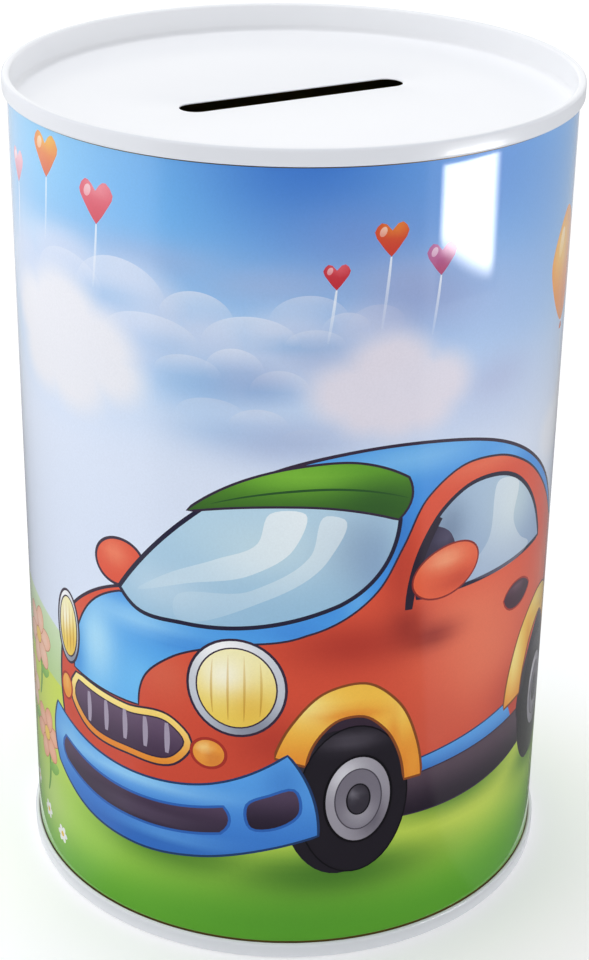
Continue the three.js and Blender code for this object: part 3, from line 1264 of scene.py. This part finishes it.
def round_lamp(x, y, rx, ry, tilt=0):
    """A ribbed glass lens in a bright ring."""
    lay(oval(x, y, rx * 1.22, ry * 1.2, tilt), airbrush(
        "#C9CED8",
        (x - rx * 0.4, y + ry, rx, ry * 0.6, "#FFFFFF", 0.9),
        (x + rx * 0.4, y - ry, rx, ry * 0.6, "#7C8294", 0.8),
    ), 0.5)
    lay(oval(x, y, rx, ry, tilt), airbrush(
        (y - ry, "#F2D25C", y + ry, "#F9F0B4"),
        (x - rx * 0.3, y + ry * 0.3, rx * 0.6, ry * 0.5, "#FFFCE8", 0.9),
        (x + rx * 0.4, y - ry * 0.5, rx * 0.6, ry * 0.5, "#E6B03C", 0.5),
    ), 0.3)
    for share in (-0.6, -0.2, 0.2, 0.6):
        tall = ry * 0.86 * math.sqrt(1 - share * share)
        side = share * rx
        rib = line((x + side, y - tall), (x + side * 1.06, y), (x + side, y + tall))
        lay(brushed(rib, 0.42), fade("#C08A2C", (x, y - ry), (x, y + ry * 1.4), 0.7))


def car_nose():
    round_lamp(-45.4, 58, 2.6, 6)
    round_lamp(-8.6, 56.6, 7, 7.8)
    grille = shape_of(
        line((-42.5, 48), (-30, 46.6), (-21, 46.8), (-18.4, 44), (-20.4, 40.8), (-30, 39.6),
             (-41, 41.4), (-43.6, 44.6), (-42.5, 48)),
    )
    frame_paint = airbrush((38, YELLOW_DARK, 49, YELLOW_LIGHT), (-24, 45, 6, 5, YELLOW, 0.6))
    lay(grown(grille, 1.5), frame_paint, 0.45)
    lay(grille, airbrush((39, "#4A3750", 48, "#6B5570")), 0.3)
    for bar in range(5):
        x = -39.6 + 4.5 * bar
        lay(brushed(line((x, 40.8), (x + 0.1, 44), (x, 47)), 1.1, 0.6), "#A79BB0")
    lay(oval(-13.6, 42.6, 2.9, 2.7), airbrush(
        "#EE9A3A", (-14.4, 43.6, 1.4, 1.2, "#FBD68A", 0.9), (-12.6, 41.4, 1.4, 1.2, "#C9682A", 0.7)
    ), 0.6, RED_DARK)
    far_signal = airbrush("#EE9A3A", (-46.9, 46, 0.8, 1.2, "#FBD68A", 0.9))
    lay(oval(-46.6, 45, 1.5, 2.5), far_signal, 0.45, RED_DARK)


# %% [markdown]
# The bumper is one bar that wraps round the nose, so its light runs along it. Its openings
# are dark shapes laid on top.


# %% Car: bumper
def car_bumper():
    bumper = shape_of(
        line((-50.5, 39.5), (-42, 36.2), (-27, 34.2), (-12, 36.4), (0.5, 43.2)),
        line((0.5, 43.2), (4.4, 36), (6, 26.5)),
        line((6, 26.5), (-4, 23.4), (-16, 20.4), (-29, 19.2), (-42, 21.6), (-50.5, 27)),
        line((-50.5, 27), (-52, 33), (-50.5, 39.5)),
    )
    lay(bumper, airbrush(
        (19, "#3474CC", 42, "#5CA8F0"),
        (-30, 33.6, 18, 1.8, BLUE_LIGHT, 0.8),
        (-46, 34, 5, 5, "#8CCBF4", 0.6),
        (0, 38, 4, 5, "#3C7CCC", 0.6),
        (-30, 21, 18, 2.5, BLUE_DARK, 0.6),
        (-22, 23.4, 12, 1.4, "#6FB4EE", 0.6),
    ), 0.5, "#23406F")
    intake = shape_of(
        line((-47.6, 33.4), (-40, 31), (-27, 29.6), (-11, 31.6)),
        line((-11, 31.6), (-10, 29), (-11.6, 26.2)),
        line((-11.6, 26.2), (-27, 24.6), (-40, 26), (-47.4, 28.8)),
        line((-47.4, 28.8), (-48.6, 31), (-47.6, 33.4)),
    )
    dark = airbrush((24, "#2E2436", 33, "#5A4660"), (-28, 26.4, 14, 1.6, "#6F5E78", 0.6))
    lay(intake, dark, 0.55, BLUE_DARK)
    side_vent = loop((-6.4, 32.6), (-2.4, 34.8), (1.6, 36), (2.6, 31.4), (-1.6, 28.2), (-5.8, 28))
    lay(side_vent, airbrush((28, "#2E2436", 36, "#57455E")), 0.55, BLUE_DARK)


# %% [markdown]
# A wheel is five ovals, one on another. The dark well is drawn first, then the wheel, then the
# wing's edge over both, just as the real parts stand in front of each other.


# %% Car: wheels, wings and sill
def wheel(x, y, rx, ry, hub_shift):
    """A tyre seen at a slant: its far edge, its side wall, a dished rim and a hub."""
    tread = airbrush(RUBBER, (x - rx, y + ry * 0.6, rx * 0.4, ry * 0.4, "#4A4450", 0.6))
    lay(oval(x - rx * 0.28, y - 0.3, rx, ry), tread)
    lay(oval(x, y, rx, ry), airbrush(
        RUBBER, (x - rx * 0.1, y + ry * 0.82, rx * 0.6, ry * 0.12, "#5B5560", 0.8)
    ), 0.3, "#151218")
    lay(oval(x + hub_shift, y, rx * 0.6, ry * 0.58), airbrush(
        "#9C98A2",
        (x - rx * 0.2, y + ry * 0.35, rx * 0.35, ry * 0.25, "#D9D8DE", 0.9),
        (x + rx * 0.35, y - ry * 0.3, rx * 0.3, ry * 0.3, "#5F5A66", 0.8),
    ), 0.5, "#151218")
    lay(oval(x + hub_shift, y, rx * 0.42, ry * 0.41), airbrush(
        "#77727E", (x + rx * 0.1, y - ry * 0.2, rx * 0.3, ry * 0.2, "#A8A5AE", 0.8)
    ), 0.25, "#4C4752")
    lay(oval(x + hub_shift, y, rx * 0.2, ry * 0.2), airbrush(
        "#3A3640", (x, y + ry * 0.08, rx * 0.1, ry * 0.08, "#8A8792", 0.8)
    ), 0.3, "#1B181F")


def wheel_arch(outer, inner, glow):
    """A swollen wing edge between two arches, given from the front to the back."""
    arch = np.vstack([line(*outer), line(*inner)[::-1]])
    lay(arch, airbrush((38, YELLOW_DARK, 52, YELLOW), *glow), 0.5, "#8A4A24")


def car_running_gear():
    trim = shape_of(
        line((20, 38.6), (48, 42)),
        line((48, 42), (50, 37.5)),
        line((50, 37.5), (20, 34.8)),
        line((20, 34.8), (20, 38.6)),
    )
    lay(trim, airbrush((34, BLUE_DARK, 41, "#5CA4E8")), 0.35, "#23406F")
    sill = shape_of(
        line((18, 35.6), (50, 38)),
        line((50, 38), (58, 36), (56, 31)),
        line((56, 31), (48, 29.4), (34, 28), (18, 28.4)),
        line((18, 28.4), (18, 35.6)),
    )
    lay(sill, airbrush((28, "#2B2230", 37, "#5A4856")), 0.3)
    well = loop((2.4, 36), (4.4, 46), (9, 51.4), (15, 51.6), (19.6, 47.4), (22.6, 36), (14, 30))
    lay(well, airbrush((30, "#1D1922", 51, "#3B2C3C")), 0.3)
    rear_well = loop((53, 36), (56, 48), (63, 54), (69.5, 50), (70.6, 38), (62, 33))
    lay(rear_well, airbrush((32, "#1D1922", 54, "#3B2C3C")), 0.3)
    wheel(12.6, 33.4, 10, 15.2, 0.8)
    wheel(62.6, 37.2, 7.6, 13.4, 0.6)
    wheel_arch(
        [(-1.6, 43), (1.6, 50), (7.4, 56), (14, 57), (20, 52.4), (24, 44), (25.4, 36)],
        [(3.6, 41.4), (5.4, 46.6), (9.6, 50.6), (14, 50.8), (18, 47.6), (21, 42), (22.2, 36)],
        [
            (4, 53, 5, 3.4, YELLOW_LIGHT, 0.85),
            (20.8, 51, 2.6, 5, "#FBD866", 0.8),
            (24, 39, 2, 5, "#F2A63C", 0.7),
            (12, 51, 6, 1.6, YELLOW_DARK, 0.85),
            (19.6, 45, 1.4, 5, YELLOW_DARK, 0.7),
        ],
    )
    wheel_arch(
        [(47, 41), (48.6, 49), (53, 56.4), (60, 60), (66.6, 58.4), (71, 51), (72, 42)],
        [(53, 41.5), (54.6, 48), (58, 53), (62.6, 54.6), (66.4, 52), (69, 46), (69.4, 42)],
        [
            (50, 51, 3, 8, YELLOW_LIGHT, 0.9),
            (60, 58.4, 6, 2, YELLOW_LIGHT, 0.7),
            (56, 50, 1.4, 5, YELLOW_DARK, 0.6),
        ],
    )


# %% [markdown]
# ### The pile of inks
#
# Now everything is laid, from the back to the front. The sky's mist and the hills already go
# right round the tin, and the billows are laid on the front only. What comes after COPY_START
# is printed once in each repeat.

# %% Lay the picture
sky()
clouds()
meadow()
COPY_START = len(PICTURE)
garden()
balloons()
car_shell()
car_blue_panels()
car_glass()
car_side()
car_nose()
car_running_gear()
car_bumper()
print("picture:", len(PICTURE), "outlines,", COPY_START, "of them right round the tin")

# %% [markdown]
# ## From flat sheet to can body
#
# The pile of outlines is triangulated together with a fine grid, so that shaded inks have
# enough corners to blend over and the rolled sheet stays round. Then every corner takes the
# colour of all the inks that cover it, from the back to the front.


# %% Triangulate and colour the sheet
GRID = 1.5
BARE_MARGIN = 3.6  # each side of the side seam
LAP_HALF = 1.5
LAP_STEP = 0.08
LAP_RISE = 0.2
LAP_FLATTENED = 1.5  # the seams squeeze the lap flat over this height


def winds_round(outline, points):
    """True for each of the points that the outline winds round."""
    low, high = outline.min(axis=0), outline.max(axis=0)
    found = np.zeros(len(points), bool)
    near = np.flatnonzero(np.all((points > low) & (points < high), axis=1))
    start, end = outline, np.roll(outline, -1, axis=0)
    x, y = points[near, 0][:, None], points[near, 1][:, None]
    side = (end[:, 0] - start[:, 0]) * (y - start[:, 1])
    side = side - (x - start[:, 0]) * (end[:, 1] - start[:, 1])
    up = (start[:, 1] <= y) & (end[:, 1] > y) & (side > 0)
    down = (start[:, 1] > y) & (end[:, 1] <= y) & (side < 0)
    found[near] = up.sum(axis=1) != down.sum(axis=1)
    return found


def printed_shapes():
    """Every outline as printed, once or twice round, or None where an ink covers the sheet."""
    for number, (outline, ink) in enumerate(PICTURE):
        for shift in (0,) if number < COPY_START else (0, REPEAT):
            yield (None if outline is WHOLE else outline + (shift, 0)), shift, ink


def flat_sheet():
    """Corner points of the sheet, and the corners of each of its triangles."""
    columns = round((RIGHT - LEFT) / GRID)
    rows = round((SHEET_HIGH - SHEET_LOW) / GRID)
    xs = np.linspace(LEFT, RIGHT, columns + 1)
    ys = np.linspace(SHEET_LOW, SHEET_HIGH, rows + 1)
    points = [(x, y) for x in xs for y in ys]
    edges = []

    def draw(path):
        """Adds a closed path, with corners near enough together to follow the rolled wall."""
        fine = []
        for start, end in zip(path, np.roll(path, -1, axis=0)):
            count = max(1, math.ceil(np.linalg.norm(end - start) / GRID))
            fine += [start + (end - start) * i / count for i in range(count)]
        first, count = len(points), len(fine)
        points.extend(map(tuple, fine))
        edges.extend((first + i, first + (i + 1) % count) for i in range(count))

    draw(WHOLE)
    for out in (BARE_MARGIN, LAP_HALF + LAP_STEP, LAP_HALF):
        draw(sheet_inside(out))
    for outline, _, _ in printed_shapes():
        if outline is not None:
            draw(outline)
    made = delaunay_2d_cdt([Vector(p) for p in points], edges, [], 0, 1e-4, False)
    flat = np.array([corner[:] for corner in made[0]])
    index = np.array(made[2])
    middle = flat[index].mean(axis=1)
    return flat, index[winds_round(WHOLE, middle)]


def inked(flat, index):
    """Each triangle corner's colour, with all the inks laid in order."""
    middle = flat[index].mean(axis=1)
    where = flat[index].reshape(-1, 2)
    colour = np.ones((len(where), 3))
    for outline, shift, ink in printed_shapes():
        if outline is None:
            corners = np.arange(len(where))
        else:
            triangles = np.flatnonzero(winds_round(outline, middle))
            corners = (triangles[:, None] * 3 + np.arange(3)).ravel()
        x, y = where[corners, 0] - shift, where[corners, 1]
        ink_colour, cover = ink(x, y)
        cover = cover[:, None]
        colour[corners] = colour[corners] * (1 - cover) + ink_colour * cover
    return linear(np.clip(colour, 0, 1))


flat, index = flat_sheet()
INK = inked(flat, index)
print("sheet:", len(index), "triangles")

# %% [markdown]
# Rolling the sheet is one line of arithmetic: distance along the sheet becomes an angle. The
# outer layer of the lapped side seam stands one plate proud. At each mouth the sheet turns
# out and back into the hook that the end's rim grips, and the wall gets its inside.


# %% Roll the body
def wall_radius(x, y):
    """The radius of the rolled wall, a plate proud at the lap."""
    from_seam = np.minimum(x - LEFT, RIGHT - x)
    rise = np.clip((LAP_HALF + LAP_STEP - from_seam) / LAP_STEP, 0, 1)
    ends = np.clip(np.minimum(y - SHEET_LOW, SHEET_HIGH - y) / LAP_FLATTENED, 0, 1)
    return BODY_R + LAP_RISE * rise * ends


def rolled_sheet():
    """The printed sheet, rolled to a tube, as a bmesh in millimetres."""
    angle = LAP_ANGLE + (flat[:, 0] - LEFT) / BODY_R
    radius = wall_radius(flat[:, 0], flat[:, 1])
    points = np.column_stack([radius * np.cos(angle), radius * np.sin(angle), flat[:, 1]])
    mesh = bpy.data.meshes.new("sheet")
    mesh.from_pydata(points.tolist(), [], index.tolist())
    ink = mesh.attributes.new("ink", "FLOAT_COLOR", "CORNER")
    ink.data.foreach_set("color", np.column_stack([INK, np.ones(len(INK))]).ravel())
    middle_x = flat[index].mean(axis=1)[:, 0]
    bare = np.minimum(middle_x - LEFT, RIGHT - middle_x) < BARE_MARGIN
    mesh.polygons.foreach_set("material_index", bare.astype(int))
    shape = bmesh.new()
    shape.from_mesh(mesh)
    loose = [v for v in shape.verts if not v.link_faces]
    bmesh.ops.delete(shape, geom=loose, context="VERTS")
    bmesh.ops.remove_doubles(shape, verts=shape.verts, dist=1e-3)
    return shape


def mouth_section():
    """From the wall's upper edge, out and back into the hook, and down the inside."""
    hook_in = COVER_HOOK_R + PLATE + FIT
    hook_out = hook_in + PLATE
    hook_foot = SEAM_FOOT + PLATE + HOOK_GAP
    inside = BODY_R - PLATE
    section = [
        [BODY_R, SHEET_HIGH],
        [BODY_R, BODY_CROWN - PLATE, 0.1],
        [hook_in, BODY_CROWN - PLATE, 0.1],
        [hook_in, hook_foot],
        [hook_out, hook_foot],
        [hook_out, BODY_CROWN, 0.25],
        [inside, BODY_CROWN, 0.25],
        [inside, HEIGHT / 2],
    ]
    return rounded(section, steps=3)[1:-1]


def rolled_body():
    shape = rolled_sheet()
    upper = mouth_section()
    joined = []
    for level, rows in ((SHEET_HIGH, upper), (SHEET_LOW, [(r, HEIGHT - z) for r, z in upper])):
        ring = sorted({v for e in open_loop(shape, level) for v in e.verts},
                      key=lambda v: math.atan2(v.co.y, v.co.x))
        turn = [(v.co.x / v.co.xy.length, v.co.y / v.co.xy.length) for v in ring]
        for radius_mm, z in rows:
            following = [shape.verts.new((radius_mm * c, radius_mm * s, z)) for c, s in turn]
            for i in range(len(ring)):
                j = (i + 1) % len(ring)
                face = shape.faces.new((ring[i], ring[j], following[j], following[i]))
                face.material_index = 2
            ring = following
        joined.append(ring)
    top, foot = joined
    for i in range(len(top)):
        j = (i + 1) % len(top)
        shape.faces.new((top[i], top[j], foot[j], foot[i])).material_index = 2
    finishes = [PRINT, BARE_TIN, GOLD_LACQUER]
    return finished_piece(
        "printed_body_shell", shape, finishes, "tin", "body_shell"
    )


BODY = rolled_body()

# %% [markdown]
# A rolled wall is truly round, but a mesh of small triangles isn't, and gloss shows it. So
# each printed corner gets the normal of the true cylinder.


# %% True normals on the wall
def round_normals(piece):
    mesh = piece.data
    corner_normals = []
    for polygon in mesh.polygons:
        nearest = min(mesh.vertices[v].co.xy.length for v in polygon.vertices)
        on_wall = nearest > (BODY_R - 0.02) * MM
        inked_face = polygon.material_index == 0 and on_wall
        outward = Vector((polygon.center.x, polygon.center.y, 0)).normalized()
        bare_face = polygon.material_index == 1 and polygon.normal.dot(outward) > 0.98
        for corner in polygon.loop_indices:
            place = mesh.vertices[mesh.loops[corner].vertex_index].co
            if inked_face or bare_face:
                corner_normals.append(Vector((place.x, place.y, 0)).normalized())
            else:
                corner_normals.append(mesh.corner_normals[corner].vector.copy())
    mesh.normals_split_custom_set(corner_normals)
    print("true normals on", len(mesh.loops), "corners")


round_normals(BODY)

# %% [markdown]
# ## Studio
#
# A white floor and white surroundings, as for a catalogue. The floor and the cards are sheets
# through rows of corners, and each corner stores its own grey, so one helper makes them all.


# %% Helpers for the studio
def around_tin(azimuth, distance, height):
    """A place at that azimuth from the camera's side of the tin, in metres."""
    turn = FRONT + math.radians(azimuth)
    x, y = math.sin(turn) * distance, -math.cos(turn) * distance
    return Vector((x, y, height)) * MM


def stage_sheet(name, rows, tone, glow=0.0):
    """A sheet through rows of corners. tone(row share, column share) is its grey, 0 to 1."""
    mesh = bpy.data.meshes.new(name)
    count = len(rows[0])
    faces = [
        (r * count + c, r * count + c + 1, (r + 1) * count + c + 1, (r + 1) * count + c)
        for r in range(len(rows) - 1)
        for c in range(count - 1)
    ]
    mesh.from_pydata([corner for row in rows for corner in row], [], faces)
    grey = mesh.attributes.new("grey", "FLOAT", "POINT")
    row_shares = np.linspace(0, 1, len(rows))
    column_shares = np.linspace(0, 1, count)
    tones = [tone(row, column) for row in row_shares for column in column_shares]
    grey.data.foreach_set("value", tones)
    material, tree, shader = new_finish(name + " paint")
    paint = add(tree, "ShaderNodeAttribute", attribute_name="grey")
    shader.inputs["Roughness"].default_value = 0.9
    shader.inputs["Specular IOR Level"].default_value = 0.0
    if glow >= 1:
        shader.inputs["Base Color"].default_value = hue("#000000")
        tree.links.new(paint.outputs["Color"], shader.inputs["Emission Color"])
        shader.inputs["Emission Strength"].default_value = glow
    else:
        tree.links.new(paint.outputs["Color"], shader.inputs["Base Color"])
        shader.inputs["Emission Color"].default_value = hue("#FFFFFF")
        shader.inputs["Emission Strength"].default_value = glow
    mesh.materials.append(material)
    sheet = bpy.data.objects.new(name, mesh)
    bpy.context.scene.collection.objects.link(sheet)
    return sheet


def ramp(value, start, end):
    """A smooth step from 0 at start to 1 at end."""
    share = min(max((value - start) / (end - start), 0), 1)
    return share * share * (3 - 2 * share)


# %% [markdown]
# ### Floor
#
# The floor is a flat ring. Its hole is hidden under the tin, where the plug comes out, and it
# is clear from below, so that a camera can look at the base. Far from the tin it gets less
# light, so it is painted paler there, and it glows a little to stay white.

# %% Floor
FLOOR_OPEN = 46  # a hole hidden under the tin, for the plug to be pulled through
FLOOR_RINGS = (FLOOR_OPEN, 500, 1700, 6000)
FLOOR_NEAR_TONE, FLOOR_FAR_TONE = 0.8, 1.0  # the far floor gets less light, so it is paler
FLOOR_GLOW = 0.25


def clear_from_below(sheet):
    """Lets a camera under the floor see the tin's base."""
    tree = sheet.data.materials[0].node_tree
    shader = next(node for node in tree.nodes if node.type == "BSDF_PRINCIPLED")
    surface = next(node for node in tree.nodes if node.type == "OUTPUT_MATERIAL")
    below = add(tree, "ShaderNodeNewGeometry").outputs["Backfacing"]
    clear = add(tree, "ShaderNodeBsdfTransparent").outputs[0]
    either = add(tree, "ShaderNodeMixShader", {0: below, 1: shader.outputs[0], 2: clear})
    tree.links.new(either.outputs[0], surface.inputs["Surface"])


def pale_floor():
    rows = [
        [around_tin(azimuth, distance, 0) for azimuth in np.linspace(0, 360, 121)]
        for distance in FLOOR_RINGS
    ]

    def paleness(row, column):
        return FLOOR_NEAR_TONE if row < 0.5 else FLOOR_FAR_TONE

    floor = stage_sheet("floor", rows, paleness, FLOOR_GLOW)
    if floor.data.polygons[0].normal.z < 0:
        floor.data.flip_normals()
    clear_from_below(floor)
    print("floor from", FLOOR_RINGS[0], "to", FLOOR_RINGS[-1], "mm")


pale_floor()

# %% [markdown]
# ### Cards for the gloss
#
# Gloss needs something to mirror. A bright card stands close by at the right for the long
# highlight. Another lies just above the floor, dark in front of the tin, which keeps the
# middle of the picture deep and clear. Both show only in reflections.

# %% Cards for the gloss
FAN_LEFT, FAN_RIGHT = -180, 180  # azimuths from the camera's side
FAN_NEAR, FAN_FAR = 52, 3000
FAN_HEIGHT = 0.3
FAN_DARK = 0.015
FAN_DARK_BEGINS, FAN_DARK_ENDS = (-58, -44), (49, 53)
FAN_CLOSE_GREY = 0.25
FAN_CLOSE_REACH = (120, 420)
WINDOW_DISTANCE = 200
WINDOW_AZIMUTHS, WINDOW_HEIGHTS = (52, 80), (67, 102)
WINDOW_GLOW = 19


def only_in_gloss(card):
    """A studio card that lights nothing and shades nothing."""
    card.visible_camera = False
    card.visible_diffuse = False
    card.visible_shadow = False
    card.visible_transmission = False


def fan_tone(row, column):
    """Dark in front of the tin, and grey close to it all round."""
    distance = FAN_NEAR * (FAN_FAR / FAN_NEAR) ** row
    azimuth = FAN_LEFT + (FAN_RIGHT - FAN_LEFT) * column
    front = ramp(azimuth, *FAN_DARK_BEGINS) * (1 - ramp(azimuth, *FAN_DARK_ENDS))
    away = 0.68 - 0.28 * math.sin(math.radians(azimuth))
    far = away * (1 - front) + FAN_DARK * front
    near = FAN_CLOSE_GREY * (1 - front) + FAN_DARK * front
    return near + (far - near) * ramp(distance, *FAN_CLOSE_REACH)


def floor_fan():
    azimuths = np.linspace(FAN_LEFT, FAN_RIGHT, 241)
    rows = []
    for row in np.linspace(0, 1, 40):
        distance = FAN_NEAR * (FAN_FAR / FAN_NEAR) ** row
        rows.append([around_tin(azimuth, distance, FAN_HEIGHT) for azimuth in azimuths])
    only_in_gloss(stage_sheet("floor_card", rows, fan_tone))


def window_card():
    azimuths = np.linspace(*WINDOW_AZIMUTHS, 24)
    rows = [
        [around_tin(azimuth, WINDOW_DISTANCE, height) for azimuth in azimuths]
        for height in np.linspace(*WINDOW_HEIGHTS, 24)
    ]

    def brightness(row, column):
        corner = 0.04 + 0.35 * (1 - column) ** 1.5
        sides = ramp(column, 0, 0.1) * (1 - ramp(column, 0.78, 1))
        return ramp(row, corner, corner + 0.2) * sides

    only_in_gloss(stage_sheet("window_card", rows, brightness, WINDOW_GLOW))


floor_fan()
window_card()

# %% [markdown]
# ### Lights
#
# An even soft light comes from a broad patch of ceiling, with a large softbox at the left and
# a weaker one at the right. The ceiling is a sun lamp with a wide angle, because a panel would
# light the floor unevenly. The lamps don't show in the gloss, which is left to the cards.

# %% Lights
SOFTBOX = 1.3  # side, in metres


def lamp(name, kind, placed, power, **settings):
    """A light that shows neither itself nor its reflection."""
    data = bpy.data.lights.new(name, kind)
    data.energy = power
    for setting, value in settings.items():
        setattr(data, setting, value)
    light = bpy.data.objects.new(name, data)
    bpy.context.scene.collection.objects.link(light)
    light.matrix_world = placed
    light.visible_camera = False
    light.visible_glossy = False


def softbox(name, azimuth, distance, height, power):
    """A square panel aimed at the tin's middle."""
    place = around_tin(azimuth, distance, height)
    aim = (Vector((0, 0, HEIGHT / 2)) * MM - place).to_track_quat("-Z", "Y")
    placed = Matrix.Translation(place) @ aim.to_matrix().to_4x4()
    lamp(name, "AREA", placed, power, shape="SQUARE", size=SOFTBOX)


def ceiling(azimuth, height, spread, power):
    """A patch of ceiling spread degrees across, in the direction of its two angles."""
    turn = FRONT + math.radians(azimuth)
    up = math.radians(height)
    towards = Vector((math.sin(turn) * math.cos(up), -math.cos(turn) * math.cos(up), math.sin(up)))
    placed = towards.to_track_quat("Z", "Y").to_matrix().to_4x4()
    lamp("ceiling", "SUN", placed, power, angle=math.radians(spread))


ceiling(azimuth=-150, height=80, spread=36, power=1.36)
softbox("left softbox", azimuth=-88, distance=900, height=900, power=5.1)
softbox("right softbox", azimuth=75, distance=1000, height=700, power=2.0)

# %% [markdown]
# ### Surroundings
#
# The surroundings are white up to a little above the horizon, for a white background and
# bright edges in the gloss. They turn grey overhead, so that the white ends keep some shape.

# %% Surroundings
WHITE_UP_TO, GREY_FROM = 0.26, 0.56  # upward part of the direction, 0 level to 1 overhead

world = bpy.data.worlds.new("white studio")
bpy.context.scene.world = world
world.use_nodes = True
facing = add(world.node_tree, "ShaderNodeTexCoord").outputs["Generated"]
height = add(world.node_tree, "ShaderNodeSeparateXYZ", {"Vector": facing}).outputs["Z"]
climb = add(
    world.node_tree,
    "ShaderNodeMapRange",
    {"Value": height, "From Min": WHITE_UP_TO, "From Max": GREY_FROM},
    interpolation_type="SMOOTHSTEP",
)
around = add(
    world.node_tree,
    "ShaderNodeMix",
    {"Factor": climb.outputs[0], MIX_A: hue("#FFFFFF"), MIX_B: hue("#8E9197")},
    data_type="RGBA",
)
surroundings = world.node_tree.nodes["Background"]
world.node_tree.links.new(around.outputs[MIX_RESULT], surroundings.inputs["Color"])
print("world", world.name)
